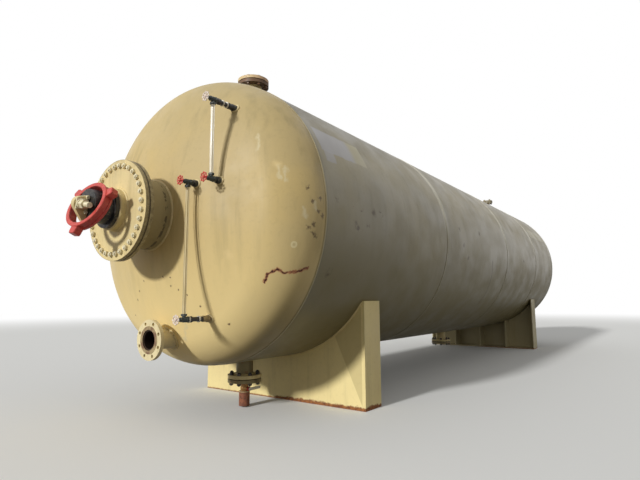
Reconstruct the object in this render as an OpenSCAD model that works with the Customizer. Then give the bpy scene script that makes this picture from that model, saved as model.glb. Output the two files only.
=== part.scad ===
/* [Vessel] */
// Outside diameter of the cylindrical shell
shell_od = 1829; // [1500:1:2400]
// Wall thickness of the shell and both heads
wall = 13; // [8:1:25]
// Length of the shell between the two head seams
shell_len = 6096; // [5600:1:9000]
// Height of the shell's lowest line above the ground
shell_clear = 312.5; // [300:0.5:600]
// Straight flange of each dished head
straight_flange = 38; // [25:1:80]
// Crown radius of the heads as a part of the inside diameter
crown_ratio = 0.9; // [0.85:0.01:1]
// Knuckle radius of the heads as a part of the inside diameter
knuckle_ratio = 0.17; // [0.1:0.01:0.2]
// Length of the first plate course, from the front seam
course_1 = 1765; // [1200:1:2000]
// Length of the second plate course
course_2 = 1835; // [1200:1:2000]
// Length of the third plate course
course_3 = 1430; // [1000:1:1600]
// Width of a weld around the shell
weld_w = 14; // [8:1:20]
// Height of a weld above the shell
weld_h = 2; // [1:0.5:4]

/* [Saddles] */
// Distance from each head seam to the middle of its saddle
saddle_inset = 725; // [500:1:1000]
// Length of a saddle across the vessel
saddle_len = 1531; // [1300:1:1700]
// Width of a saddle along the vessel
saddle_w = 204; // [150:1:300]
// Thickness of the saddle's upright plates
saddle_plate = 12; // [8:1:20]
// Thickness of the base plate
base_t = 12; // [8:1:25]
// Number of ribs between the two end plates
rib_count = 3; // [2:1:6]
// Distance between the two anchor holes of a saddle
anchor_spacing = 1220; // [900:1:1300]
// Diameter of an anchor hole
anchor_hole_d = 26; // [18:1:34]

/* [Manway] */
// Outside diameter of the manway flange and its blind
manway_od = 559; // [500:1:600]
// Outside diameter of the manway neck
manway_neck_od = 406; // [360:1:410]
// Wall of the manway neck
manway_neck_wall = 10; // [6:1:16]
// Thickness of the manway flange, and of the blind
manway_t = 22; // [16:1:32]
// Thickness of the manway gasket
gasket_t = 3; // [2:0.5:6]
// Bolt circle diameter of the manway
manway_pcd = 489; // [480:1:495]
// Number of manway studs
manway_studs_n = 32; // [24:1:32]
// Diameter of a manway stud
manway_stud_d = 16; // [14:1:19]
// Distance from the crown of the front head to the gasket's front
manway_reach = 181; // [150:1:260]
// Distance that the manway's axis lies below the vessel's axis
manway_drop = 15; // [0:1:40]

/* [Closure] */
// Outside diameter of the closure's neck
closure_neck_od = 232; // [200:1:240]
// Length of the closure's neck in front of the blind
closure_neck_len = 34; // [25:1:60]
// Outside diameter of the closure's hub
closure_hub_od = 216; // [200:1:220]
// Length of the hub that stands in front of the neck
closure_hub_len = 28; // [16:1:32]
// Outside diameter of the barrel that carries the loose ring
barrel_od = 176; // [170:1:180]
// Length of the barrel in front of the hub
barrel_len = 100; // [90:1:110]
// Inside diameter of the closure's neck, hub and barrel
closure_bore = 154; // [130:1:160]
// Outside diameter of the loose ring
ring_od = 270; // [262:1:290]
// Inside diameter of the loose ring
ring_id = 224; // [216:1:230]
// Depth of the loose ring along its axis
ring_depth = 50; // [40:1:54]
// Distance of the ring's middle in front of the hub
ring_out = 86; // [84:1:94]
// Angle at which the ring hangs from the barrel
ring_tilt = 25; // [15:1:30]
// Turn of the tilted ring around the closure's axis, towards the gauge side
closure_roll = 19; // [0:1:30]
// Distance of the lug's bolt in front of the barrel
lug_out = 38; // [34:1:50]
// Radius of the lug's rounded end
lug_r = 38; // [34:1:42]
// Turn of the lug around the closure's axis, towards the gauge side
lug_roll = 12; // [0:1:20]
// Thickness of the lug
cap_t = 30; // [20:1:36]
// Diameter of the lug's bolt
lug_bolt_d = 30; // [24:1:36]

/* [Gauges] */
// Distance of a gauge in front of the head, at its nearer valve
gauge_out = 59; // [56:1:90]
// Distance of the upper gauge from the vessel's middle plane
upper_gauge_y = 505; // [440:1:560]
// Height of the upper gauge's top valve above the vessel's axis
upper_gauge_top = 565; // [500:1:600]
// Height of the upper gauge's bottom valve above the vessel's axis
upper_gauge_bottom = 128; // [80:1:240]
// Distance of the lower gauge from the vessel's middle plane
lower_gauge_y = 364; // [330:1:420]
// Height of the lower gauge's top valve above the vessel's axis
lower_gauge_top = 124; // [60:1:200]
// Height of the lower gauge's bottom valve above the vessel's axis
lower_gauge_bottom = -607; // [-640:1:-500]
// Outside diameter of the upper gauge's tube
upper_tube_d = 16; // [10:1:20]
// Outside diameter of the lower gauge's tube
lower_tube_d = 12; // [8:1:20]
// Outside diameter of a gauge's pipe arm
arm_d = 27; // [20:1:34]
// Outside diameter of the welded boss on the head
boss_d = 38; // [36:1:50]
// Outside diameter of a gauge handwheel
wheel_od = 56; // [36:1:80]

/* [Nozzles] */
// Outside diameter of a 4 inch nozzle's neck
neck_od = 114; // [100:1:120]
// Bore of a 4 inch nozzle's neck
neck_bore = 102; // [80:1:104]
// Outside diameter of a 4 inch flange
flange_od = 229; // [220:1:260]
// Thickness of a 4 inch flange, and of its blind
flange_t = 24; // [18:1:30]
// Diameter of a 4 inch flange's raised face
raised_face_d = 157; // [140:1:164]
// Bolt circle of a 4 inch flange
flange_pcd = 190.5; // [184:0.5:195]
// Diameter of a 4 inch flange's bolt hole
flange_hole_d = 19; // [17:1:22]
// Diameter of a 4 inch flange's stud
flange_stud_d = 16; // [12:1:16]
// Number of bolts in a 4 inch flange
flange_bolts = 8; // [4:4:8]
// Height of the outlet nozzle's axis above the shell's lowest line
outlet_up = 184.5; // [175:0.5:320]
// Distance from the head to the outlet's flange face, on the nozzle's axis
outlet_reach = 143; // [110:1:260]
// Distance from the front seam to the drain and its flanges
drain_x = 292; // [200:1:330]
// Distance from the shell down to the drain's flange joint
drain_drop = 120; // [110:1:140]
// Distance from the front seam to the second bottom nozzle
rear_drain_x = 3755; // [3700:1:3900]
// Distance from the front seam to the top nozzle
top_x = 342; // [250:1:500]
// Distance from the shell up to the top nozzle's flange joint
top_rise = 185; // [140:1:260]
// Distance from the rear seam to the small top nozzle
small_x = 82; // [70:1:200]
// Distance from the shell up to the small top nozzle's flange joint
small_rise = 215; // [140:1:260]
// Outside diameter of the small top nozzle's neck
small_neck_od = 60; // [48:1:70]
// Outside diameter of the small top nozzle's flange
small_flange_od = 152; // [140:1:165]
// Thickness of the small top nozzle's flange, and of its blind
small_flange_t = 19; // [14:1:24]
// Bolt circle of the small top nozzle
small_pcd = 121; // [114:1:124]

/* [Drain valve] */
// Outside diameter of the valve's coupling under the drain's blind
coupling_d = 52; // [46:1:60]
// Length of the coupling
coupling_len = 28; // [20:1:34]
// Diameter of the valve's ball housing
valve_d = 56; // [50:1:64]
// Height of the valve's body
valve_h = 34; // [30:1:40]
// Outside diameter of the pipe stub below the valve
stub_d = 73; // [60:1:80]
// Wall of the pipe stub
stub_wall = 5; // [4:1:8]
// Gap between the pipe stub and the ground
stub_gap = 8; // [6:1:20]
// Length of the valve's lever
lever_len = 95; // [70:1:120]

/* [Hidden] */
$fn = 96;

cream = "#d8c48e";
steel = "#8d8f8c";
black = "#26262a";
red = "#b8302c";
rust = "#7d4a35";
glass = "#e4e8e2";

shell_r = shell_od / 2;
inner_r = shell_r - wall;
axis_h = shell_clear + shell_r;
outlet_drop = shell_r - outlet_up;
front_x = -saddle_inset;
rear_x = front_x + shell_len;
rear_saddle_x = rear_x - saddle_inset;
course_ends = [0, course_1, course_1 + course_2, course_1 + course_2 + course_3, shell_len];

// Dished head: a crown and a knuckle arc that meet at the tangent angle
crown_r = crown_ratio * 2 * inner_r;
knuckle_r = knuckle_ratio * 2 * inner_r;
knuckle_c = inner_r - knuckle_r;
tangent_a = asin(knuckle_c / (crown_r - knuckle_r));
crown_c = (crown_r - knuckle_r) * cos(tangent_a);
dish_h = crown_r - crown_c + wall;
tangent_r = knuckle_c + (knuckle_r + wall) * sin(tangent_a);
front_crown_x = front_x - straight_flange - dish_h;
reach = 4 * shell_od;

// Outer surface of the front head at a distance from the axis
function dish(rho) = rho < tangent_r
    ? sqrt(pow(crown_r + wall, 2) - rho * rho) - crown_c
    : sqrt(pow(knuckle_r + wall, 2) - pow(rho - knuckle_c, 2));
function head_x(y, dz) = front_x - straight_flange - dish(sqrt(y * y + dz * dz));
function shell_z(y) = sqrt(shell_r * shell_r - y * y);

gasket_x = front_crown_x - manway_reach;
blind_face_x = gasket_x - manway_t;
manway_z = axis_h - manway_drop;
manway_nut_h = 14;
manway_nut_d = 30;

// Closure: hub, barrel, the ring that hangs on it, and the lug on its end
neck_front_x = blind_face_x - closure_neck_len;
hub_front_x = neck_front_x - closure_hub_len;
barrel_end_x = hub_front_x - barrel_len;
barrel_floor = 14;
ring_seat = 0.3;
ring_x = hub_front_x - ring_out;
ring_z = barrel_od / 2 + ring_seat - ring_id / 2 * cos(ring_tilt) + ring_depth / 2 * sin(ring_tilt);
ring_lugs = [44, 164, 284];
lug_x = barrel_end_x - lug_out;
lug_z = 4;
lug_up = 48;
lug_down = 89;
lug_flat = 19;

// What runs on past a wall inside the vessel, and what stays short of a flange's face
inside = 12;
outlet_past = 20;
recess = 4;
outlet_recess = 6;
stud_past = 5;
clearance = 0.15;

// Gauge fittings
boss_out = 24;
boss_in = 36;
boss_floor = 16;
boss_bore = 19;
stem_d = 9;
wheel_out = 50;
collar_d = 34;
collar_h = 10;
outlet_d = 22;
union_d = 36;
union_w = 12;
tube_gap = 30;
tube_wall = 2;
valve_body_d = 30;
valve_body_len = 44;
rod_d = 4;
rod_off = 13;
bonnet_d = 20;
bonnet_len = 16;
function gauge_x(y, top, bottom) = min(head_x(y, top), head_x(y, bottom)) - gauge_out;
upper_x = gauge_x(upper_gauge_y, upper_gauge_top, upper_gauge_bottom);
lower_x = gauge_x(lower_gauge_y, lower_gauge_top, lower_gauge_bottom);
gauges = [[upper_x, -upper_gauge_y, upper_gauge_top, upper_gauge_bottom, upper_tube_d],
    [lower_x, -lower_gauge_y, lower_gauge_top, lower_gauge_bottom, lower_tube_d]];
outlet_face_x = head_x(0, outlet_drop) - outlet_reach;

drain_px = front_x + drain_x;
rear_drain_px = front_x + rear_drain_x;
top_px = front_x + top_x;
small_px = rear_x - small_x;
flange_gasket = 2;
raised_t = 2;
small_face_d = 92;
small_bore = small_neck_od - 8;
small_bolts = 4;
flange_nut_h = 14;
flange_nut_d = 28;
shell_bottom = shell_clear;
shell_top = axis_h + shell_r;
drain_joint_z = shell_bottom - drain_drop;
drain_blind_z = drain_joint_z - flange_gasket - flange_t;
valve_top_z = drain_blind_z - coupling_len;
valve_bottom_z = valve_top_z - valve_h;
lever_pin_d = 16;
lever_pin_len = 26;
lever_w = 18;
lever_t = 5;
valve_bore = coupling_d - 16;
stub_ring_t = 6;
rib_pitch = (saddle_len - saddle_plate) / (rib_count + 1);
saddle_top = axis_h - shell_z(saddle_len / 2 - saddle_plate);

// A cylinder along X from one place to another
module rod_x(x0, x1, d) {
    translate([x0, 0, 0]) rotate([0, 90, 0]) cylinder(h = x1 - x0, d = d);
}

// Bolt holes, or studs, on a circle around Z
module on_circle(count, pcd, start = 0) {
    for (i = [0:count - 1]) rotate([0, 0, start + i * 360 / count]) translate([pcd / 2, 0, 0]) children();
}

module head_outline(t, skirt) {
    edge = [sin(tangent_a), cos(tangent_a)] * reach;
    translate([0, -skirt]) square([inner_r + t, skirt]);
    intersection() {
        translate([0, -crown_c]) circle(r = crown_r + t, $fn = 180);
        polygon([[0, 0], [knuckle_c, 0], [knuckle_c, 0] + edge, [0, reach]]);
    }
    intersection() {
        translate([knuckle_c, 0]) circle(r = knuckle_r + t, $fn = 180);
        polygon([[knuckle_c, 0], [reach, 0], [reach, reach], [knuckle_c, 0] + edge]);
    }
}

// Head with its crown up and its seam at straight_flange below zero
module head_shell() {
    rotate_extrude($fn = 144)
    difference() {
        union() {
            head_outline(wall, straight_flange);
            translate([inner_r, -straight_flange]) square([wall + weld_h, weld_w / 2]);
        }
        head_outline(0, straight_flange + 1);
    }
}

module front_head() {
    color(cream)
    difference() {
        translate([front_x - straight_flange, 0, axis_h]) rotate([0, -90, 0]) head_shell();
        translate([0, 0, manway_z]) rod_x(gasket_x, front_x, manway_neck_od);
        translate([0, 0, axis_h - outlet_drop]) rod_x(front_crown_x, front_x, neck_od);
        for (g = gauges) for (dz = [g[2], g[3]])
            translate([0, g[1], axis_h + dz]) rod_x(front_crown_x, front_x - straight_flange, boss_d);
    }
}

module rear_head() {
    color(cream)
    translate([rear_x + straight_flange, 0, axis_h]) rotate([0, 90, 0]) head_shell();
}

module course(i) {
    x0 = front_x + course_ends[i];
    x1 = front_x + course_ends[i + 1];
    translate([0, 0, axis_h])
    difference() {
        union() {
            rod_x(x0, x1, shell_od, $fn = 144);
            for (x = [x0, x1 - weld_w / 2]) rod_x(x, x + weld_w / 2, shell_od + 2 * weld_h, $fn = 144);
        }
        rod_x(x0 - 1, x1 + 1, 2 * inner_r, $fn = 144);
        translate([drain_px, 0, -shell_od]) cylinder(h = shell_od, d = neck_od);
        translate([rear_drain_px, 0, -shell_od]) cylinder(h = shell_od, d = neck_od);
        translate([top_px, 0, 0]) cylinder(h = shell_od, d = neck_od);
        translate([small_px, 0, 0]) cylinder(h = shell_od, d = small_neck_od);
    }
}

module shell_course_1() {
    color(cream) course(0);
}

module shell_course_2() {
    color(cream) course(1);
}

module shell_course_3() {
    color(cream) course(2);
}

module shell_course_4() {
    color(cream) course(3);
}

module manway_neck() {
    lip = head_x(0, manway_drop + manway_neck_od / 2) + wall + inside;
    color(cream)
    translate([0, 0, manway_z])
    difference() {
        rod_x(gasket_x + gasket_t + recess, lip, manway_neck_od);
        rod_x(gasket_x, lip + 1, manway_neck_od - 2 * manway_neck_wall);
    }
}

// Manway ring of a thickness, with its bolt holes, facing front
module manway_plate(x0, t, bore) {
    translate([x0, 0, manway_z]) rotate([0, 90, 0])
    difference() {
        cylinder(h = t, d = manway_od, $fn = 144);
        translate([0, 0, -1]) cylinder(h = t + 2, d = bore);
        translate([0, 0, -1]) on_circle(manway_studs_n, manway_pcd, 180 / manway_studs_n)
            cylinder(h = t + 2, d = manway_stud_d + 2, $fn = 32);
    }
}

module manway_flange() {
    color(cream) manway_plate(gasket_x + gasket_t, manway_t, manway_neck_od);
}

module manway_gasket() {
    inside_studs = 14;
    color(black)
    translate([0, 0, manway_z])
    difference() {
        rod_x(gasket_x, gasket_x + gasket_t, manway_pcd - manway_stud_d - inside_studs);
        rod_x(gasket_x - 1, gasket_x + gasket_t + 1, manway_neck_od - 2 * manway_neck_wall);
    }
}

module manway_blind() {
    color(cream) manway_plate(blind_face_x, manway_t, closure_neck_od);
}

// Stud with a nut on each side of a joint, standing up from zero
module stud(d, grip, nut_h, nut_d) {
    length = grip + 2 * (nut_h + stud_past);
    translate([0, 0, -nut_h - stud_past]) cylinder(h = length, d = d, $fn = 32);
    for (z = [-nut_h, grip]) translate([0, 0, z]) cylinder(h = nut_h, d = nut_d, $fn = 6);
}

module manway_studs() {
    color(steel)
    translate([blind_face_x, 0, manway_z]) rotate([0, 90, 0])
    on_circle(manway_studs_n, manway_pcd, 180 / manway_studs_n)
        stud(manway_stud_d, 2 * manway_t + gasket_t, manway_nut_h, manway_nut_d);
}

module closure_neck() {
    color(cream)
    translate([0, 0, manway_z])
    difference() {
        rod_x(neck_front_x, gasket_x, closure_neck_od);
        rod_x(neck_front_x - 1, gasket_x + 1, closure_bore);
    }
}

// Tube along the closure's axis, open at both ends
module closure_tube(x0, x1, d) {
    color(black) translate([0, 0, manway_z])
    difference() {
        rod_x(x0, x1, d);
        rod_x(x0 - 1, x1 + 1, closure_bore);
    }
}

module closure_hub() {
    closure_tube(hub_front_x, neck_front_x, closure_hub_od);
}

module closure_barrel() {
    closure_tube(barrel_end_x + barrel_floor, hub_front_x, barrel_od);
}

module closure_end_plate() {
    color(black)
    translate([0, 0, manway_z]) rod_x(barrel_end_x, barrel_end_x + barrel_floor, barrel_od);
}

// Frame of the loose ring: X along its axis, zero at its middle
module ring_frame() {
    translate([0, 0, manway_z]) rotate([closure_roll, 0, 0])
    translate([ring_x, 0, ring_z]) rotate([0, ring_tilt, 0]) children();
}

// Half of the ring's section, with a groove around its rim
module ring_profile() {
    rim = 13;
    groove = 5;
    difference() {
        translate([ring_id / 2, -ring_depth / 2]) square([(ring_od - ring_id) / 2, ring_depth]);
        translate([ring_od / 2 - groove, rim - ring_depth / 2]) square([groove + 1, ring_depth - 2 * rim]);
    }
}

module closure_ring() {
    lug_w = 45;
    lug_len = 36;
    lug_inset = 4;
    root = 12;
    color(red)
    ring_frame() {
        rotate([0, -90, 0]) rotate_extrude() ring_profile();
        for (a = ring_lugs) rotate([a, 0, 0])
            translate([lug_inset - ring_depth / 2, -lug_w / 2, ring_od / 2 - root])
                cube([ring_depth - 2 * lug_inset, lug_w, lug_len + root]);
    }
}

// Angle at which a line from a point touches a circle of radius r around zero
function touch_a(p, r, side) = atan2(p[1], p[0]) + side * acos(r / norm(p));

// Frame of the lug's bolt: X along the closure, Z along the bolt to its end
module lug_frame() {
    translate([lug_x, 0, manway_z]) rotate([lug_roll, 0, 0])
    translate([0, 0, lug_z]) rotate([90, 0, 0]) children();
}

// Lug plate on the barrel's end
module closure_cap() {
    high = [lug_out, lug_up];
    low = [lug_out - lug_flat, -lug_down];
    high_a = touch_a(high, lug_r, 1);
    low_a = touch_a(low, lug_r, -1);
    color(cream)
    lug_frame() translate([0, 0, -cap_t / 2]) linear_extrude(cap_t)
    difference() {
        union() {
            circle(r = lug_r);
            polygon([low, [lug_out, -lug_down], high, lug_r * [cos(high_a), sin(high_a)],
                lug_r * [cos(low_a), sin(low_a)]]);
        }
        circle(d = lug_bolt_d + 2 * clearance);
    }
}

// Bolt through the lug with a square plate, a washer and a nut, and two small bolts beside it
module closure_bolt() {
    plate_w = 56;
    plate_t = 8;
    washer_d = 54;
    washer_t = 7;
    nut_d = 50;
    nut_t = 30;
    head_t = 18;
    bolt_end = 104;
    face = cap_t / 2;
    side_x = 26;
    side_up = 37;
    side_down = 40;
    side_d = 20;
    side_t = 12;
    color(steel)
    lug_frame() {
        translate([0, 0, -face - head_t]) cylinder(h = face + head_t + bolt_end, d = lug_bolt_d);
        translate([0, 0, -face - head_t]) cylinder(h = head_t, d = nut_d, $fn = 6);
        translate([-plate_w / 2, -plate_w / 2, face]) cube([plate_w, plate_w, plate_t]);
        translate([0, 0, face]) cylinder(h = plate_t + washer_t, d = washer_d);
        translate([0, 0, face]) cylinder(h = plate_t + washer_t + nut_t, d = nut_d, $fn = 6);
        for (z = [side_up, -side_down]) translate([side_x, z, face]) cylinder(h = side_t, d = side_d, $fn = 6);
    }
}

module at_gauge(g, dz) {
    translate([g[0], g[1], axis_h + dz]) children();
}

module gauge_bosses() {
    color(cream)
    for (g = gauges) for (dz = [g[2], g[3]])
        translate([0, g[1], axis_h + dz]) difference() {
            rod_x(head_x(g[1], dz) - boss_out, head_x(g[1], dz) + boss_in, boss_d, $fn = 48);
            rod_x(head_x(g[1], dz) - boss_out + boss_floor, front_x, boss_bore, $fn = 48);
        }
}

module gauge_arms() {
    color(black)
    for (g = gauges) for (dz = [g[2], g[3]]) {
        x0 = g[0] + valve_body_len / 2;
        x1 = head_x(g[1], dz) - boss_out;
        translate([0, g[1], axis_h + dz]) {
            rod_x(x0, x1, arm_d, $fn = 48);
            if (x1 - x0 > 4 * union_w) for (x = [x0 + union_w, x1 - 2 * union_w])
                rod_x(x, x + union_w, union_d, $fn = 48);
        }
    }
}

// Valve with its stem to the front and its gland towards the tube
module gauge_valve(up) {
    body_x = -valve_body_len / 2;
    floor_t = 2;
    difference() {
        union() {
            rod_x(body_x, valve_body_len / 2, valve_body_d, $fn = 48);
            rod_x(body_x - bonnet_len, body_x, bonnet_d, $fn = 48);
            rotate([up ? 0 : 180, 0, 0]) {
                cylinder(h = tube_gap, d = outlet_d, $fn = 48);
                translate([0, 0, tube_gap - collar_h]) cylinder(h = collar_h, d = collar_d, $fn = 48);
            }
        }
        rod_x(body_x - bonnet_len - 1, body_x - floor_t, stem_d + 2 * clearance, $fn = 48);
    }
}

module gauge_valves() {
    color("#2c3a34")
    for (g = gauges) {
        at_gauge(g, g[2]) gauge_valve(false);
        at_gauge(g, g[3]) gauge_valve(true);
    }
}

function tube_len(g) = g[2] - g[3] - 2 * tube_gap;

module gauge_tubes() {
    color(glass)
    for (g = gauges) at_gauge(g, g[3] + tube_gap) difference() {
        cylinder(h = tube_len(g), d = g[4], $fn = 48);
        translate([0, 0, -1]) cylinder(h = tube_len(g) + 2, d = g[4] - 2 * tube_wall, $fn = 48);
    }
}

module gauge_rods() {
    color(steel)
    for (g = gauges) for (s = [-1, 1]) at_gauge(g, g[3] + tube_gap)
        translate([0, s * rod_off, 0]) cylinder(h = tube_len(g), d = rod_d, $fn = 32);
}

// Handwheel and its stem, with the wheel's middle at zero and the stem to the back
module handwheel() {
    rim_d = 7;
    rim_r = (wheel_od - rim_d) / 2;
    spokes = 5;
    spoke_w = 5;
    spoke_t = 4;
    hub_d = 14;
    hub_h = 12;
    stem_len = wheel_out - valve_body_len / 2 - 3;
    color(red) rotate([0, 90, 0]) {
        rotate_extrude($fn = 48) translate([rim_r, 0]) circle(d = rim_d, $fn = 24);
        for (i = [0:spokes - 1]) rotate([0, 0, i * 360 / spokes])
            translate([0, -spoke_w / 2, -spoke_t / 2]) cube([rim_r, spoke_w, spoke_t]);
        translate([0, 0, -hub_h / 2]) cylinder(h = hub_h, d = hub_d, $fn = 48);
        cylinder(h = stem_len, d = stem_d, $fn = 48);
    }
}

module wheel(g, dz) {
    translate([g[0] - wheel_out, g[1], axis_h + dz]) handwheel();
}

module wheel_upper_top() {
    wheel(gauges[0], gauges[0][2]);
}

module wheel_upper_bottom() {
    wheel(gauges[0], gauges[0][3]);
}

module wheel_lower_top() {
    wheel(gauges[1], gauges[1][2]);
}

module wheel_lower_bottom() {
    wheel(gauges[1], gauges[1][3]);
}

// Flange with its raised face up at zero
module flange(od, t, bore, face_d, pcd, count, hole_d) {
    difference() {
        union() {
            translate([0, 0, -t]) cylinder(h = t - raised_t, d = od);
            translate([0, 0, -t]) cylinder(h = t, d = face_d);
        }
        if (bore > 0) translate([0, 0, -t - 1]) cylinder(h = t + 2, d = bore);
        translate([0, 0, -t - 1]) on_circle(count, pcd, 180 / count)
            cylinder(h = t + 2, d = hole_d, $fn = 32);
    }
}

module pipe(z0, z1, d, bore) {
    translate([0, 0, z0]) difference() {
        cylinder(h = z1 - z0, d = d);
        translate([0, 0, -1]) cylinder(h = z1 - z0 + 2, d = bore);
    }
}

module outlet_frame() {
    translate([outlet_face_x, 0, axis_h - outlet_drop]) rotate([0, -90, 0]) children();
}

module outlet_neck() {
    z0 = head_x(0, outlet_drop + neck_od / 2) + wall + inside - outlet_face_x;
    color(cream) outlet_frame() pipe(-z0 - outlet_past, -outlet_recess, neck_od, neck_bore);
}

module outlet_flange() {
    color(cream) outlet_frame()
        flange(flange_od, flange_t, neck_od, raised_face_d, flange_pcd, flange_bolts, flange_hole_d);
}

// Neck from inside the shell to a joint at zero, which faces up
module nozzle_neck(length, d, bore) {
    pipe(-length - wall - inside, -recess, d, bore);
}

module bottom_frame(x) {
    translate([x, 0, drain_joint_z]) rotate([180, 0, 0]) children();
}

module nozzle_flange() {
    flange(flange_od, flange_t, neck_od, raised_face_d, flange_pcd, flange_bolts, flange_hole_d);
}

// Blind that faces down on the joint at zero
module nozzle_blind(bore) {
    translate([0, 0, flange_gasket]) mirror([0, 0, 1])
        flange(flange_od, flange_t, bore, raised_face_d, flange_pcd, flange_bolts, flange_hole_d);
    pipe(0, flange_gasket, raised_face_d, neck_bore);
}

module nozzle_studs() {
    translate([0, 0, -flange_t]) on_circle(flange_bolts, flange_pcd, 180 / flange_bolts)
        stud(flange_stud_d, 2 * flange_t + flange_gasket, flange_nut_h, flange_nut_d);
}

module drain_neck() {
    color(cream) bottom_frame(drain_px) nozzle_neck(drain_drop, neck_od, neck_bore);
}

module drain_flange() {
    color(cream) bottom_frame(drain_px) nozzle_flange();
}

module drain_blind() {
    color(cream) bottom_frame(drain_px) nozzle_blind(valve_bore);
}

module drain_studs() {
    color(black) bottom_frame(drain_px) nozzle_studs();
}

module drain_valve() {
    color(rust)
    translate([drain_px, 0, 0]) difference() {
        union() {
            translate([0, 0, valve_top_z]) cylinder(h = coupling_len, d = coupling_d);
            translate([0, 0, valve_bottom_z]) cylinder(h = valve_h, d = valve_d);
            translate([0, 0, (valve_top_z + valve_bottom_z) / 2]) rotate([90, 0, 0])
                cylinder(h = valve_d / 2 + lever_pin_len, d = lever_pin_d, $fn = 48);
        }
        translate([0, 0, valve_bottom_z - 1]) cylinder(h = valve_h + coupling_len + 2, d = valve_bore);
    }
}

module drain_lever() {
    z = (valve_top_z + valve_bottom_z) / 2;
    y = -valve_d / 2 - lever_pin_len;
    eye_d = lever_w + 6;
    color("#e8e4d6")
    translate([drain_px, y, z]) rotate([90, 0, 0]) {
        translate([0, 0, clearance]) cylinder(h = lever_t, d = eye_d, $fn = 48);
        translate([0, -lever_w / 2, clearance]) cube([lever_len, lever_w, lever_t]);
    }
}

module drain_stub() {
    color(rust) translate([drain_px, 0, 0]) {
        pipe(stub_gap, valve_bottom_z, stub_d, stub_d - 2 * stub_wall);
        pipe(valve_bottom_z - stub_ring_t, valve_bottom_z, stub_d, valve_bore);
    }
}

module rear_drain_neck() {
    color(cream) bottom_frame(rear_drain_px) nozzle_neck(drain_drop, neck_od, neck_bore);
}

module rear_drain_flange() {
    color(cream) bottom_frame(rear_drain_px) nozzle_flange();
}

module rear_drain_blind() {
    color(cream) bottom_frame(rear_drain_px) nozzle_blind(0);
}

module rear_drain_studs() {
    color(black) bottom_frame(rear_drain_px) nozzle_studs();
}

module top_frame() {
    translate([top_px, 0, shell_top + top_rise]) children();
}

module top_neck() {
    color(cream) top_frame() nozzle_neck(top_rise, neck_od, neck_bore);
}

module top_flange() {
    color(cream) top_frame() nozzle_flange();
}

module top_blind() {
    color(rust) top_frame() nozzle_blind(0);
}

module top_studs() {
    color(steel) top_frame() nozzle_studs();
}

module small_frame() {
    translate([small_px, 0, shell_top + small_rise]) children();
}

module small_ring(bore) {
    flange(small_flange_od, small_flange_t, bore, small_face_d, small_pcd, small_bolts, flange_hole_d);
}

module small_neck() {
    color(cream) small_frame() nozzle_neck(small_rise, small_neck_od, small_bore);
}

module small_flange() {
    color(cream) small_frame() small_ring(small_neck_od);
}

module small_blind() {
    color(rust) small_frame() {
        translate([0, 0, flange_gasket]) mirror([0, 0, 1]) small_ring(0);
        pipe(0, flange_gasket, small_face_d, small_bore);
    }
}

module small_studs() {
    color(steel) small_frame() translate([0, 0, -small_flange_t]) on_circle(small_bolts, small_pcd, 45)
        stud(flange_stud_d, 2 * small_flange_t + flange_gasket, flange_nut_h, flange_nut_d);
}

// Saddle parts around zero, with the web on the side of minus X
module saddle_web() {
    color(cream) difference() {
        translate([-saddle_w / 2, -saddle_len / 2 + saddle_plate, base_t])
            cube([saddle_plate, saddle_len - 2 * saddle_plate, saddle_top - base_t]);
        translate([0, 0, axis_h]) rod_x(-saddle_w, saddle_w, shell_od, $fn = 144);
    }
}

module saddle_ribs() {
    color(cream) {
        for (y = [-saddle_len / 2, saddle_len / 2 - saddle_plate]) translate([-saddle_w / 2, y, base_t])
            cube([saddle_w, saddle_plate, saddle_top - base_t]);
        difference() {
            for (i = [1:rib_count])
                translate([-saddle_w / 2 + saddle_plate, -saddle_len / 2 + i * rib_pitch, base_t])
                    cube([saddle_w - saddle_plate, saddle_plate, saddle_top - base_t]);
            translate([0, 0, axis_h]) rod_x(-saddle_w, saddle_w, shell_od, $fn = 144);
        }
    }
}

module saddle_base() {
    color(cream) difference() {
        translate([-saddle_w / 2, -saddle_len / 2, 0]) cube([saddle_w, saddle_len, base_t]);
        for (s = [-1, 1]) translate([saddle_plate / 2, s * anchor_spacing / 2, -1])
            cylinder(h = base_t + 2, d = anchor_hole_d);
    }
}

module rear_saddle() {
    translate([rear_saddle_x, 0, 0]) mirror([1, 0, 0]) children();
}

module front_saddle_web() {
    saddle_web();
}

module front_saddle_ribs() {
    saddle_ribs();
}

module front_saddle_base() {
    saddle_base();
}

module rear_saddle_web() {
    rear_saddle() saddle_web();
}

module rear_saddle_ribs() {
    rear_saddle() saddle_ribs();
}

module rear_saddle_base() {
    rear_saddle() saddle_base();
}

front_head();
shell_course_1();
shell_course_2();
shell_course_3();
shell_course_4();
rear_head();
manway_neck();
manway_flange();
manway_gasket();
manway_blind();
manway_studs();
closure_neck();
closure_hub();
closure_barrel();
closure_end_plate();
closure_ring();
closure_cap();
closure_bolt();
gauge_bosses();
gauge_arms();
gauge_valves();
gauge_tubes();
gauge_rods();
wheel_upper_top();
wheel_upper_bottom();
wheel_lower_top();
wheel_lower_bottom();
outlet_neck();
outlet_flange();
drain_neck();
drain_flange();
drain_blind();
drain_studs();
drain_valve();
drain_lever();
drain_stub();
rear_drain_neck();
rear_drain_flange();
rear_drain_blind();
rear_drain_studs();
top_neck();
top_flange();
top_blind();
top_studs();
small_neck();
small_flange();
small_blind();
small_studs();
front_saddle_web();
front_saddle_ribs();
front_saddle_base();
rear_saddle_web();
rear_saddle_ribs();
rear_saddle_base();
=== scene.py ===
import math

import bmesh
import bpy
from mathutils import Matrix, Vector


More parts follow.
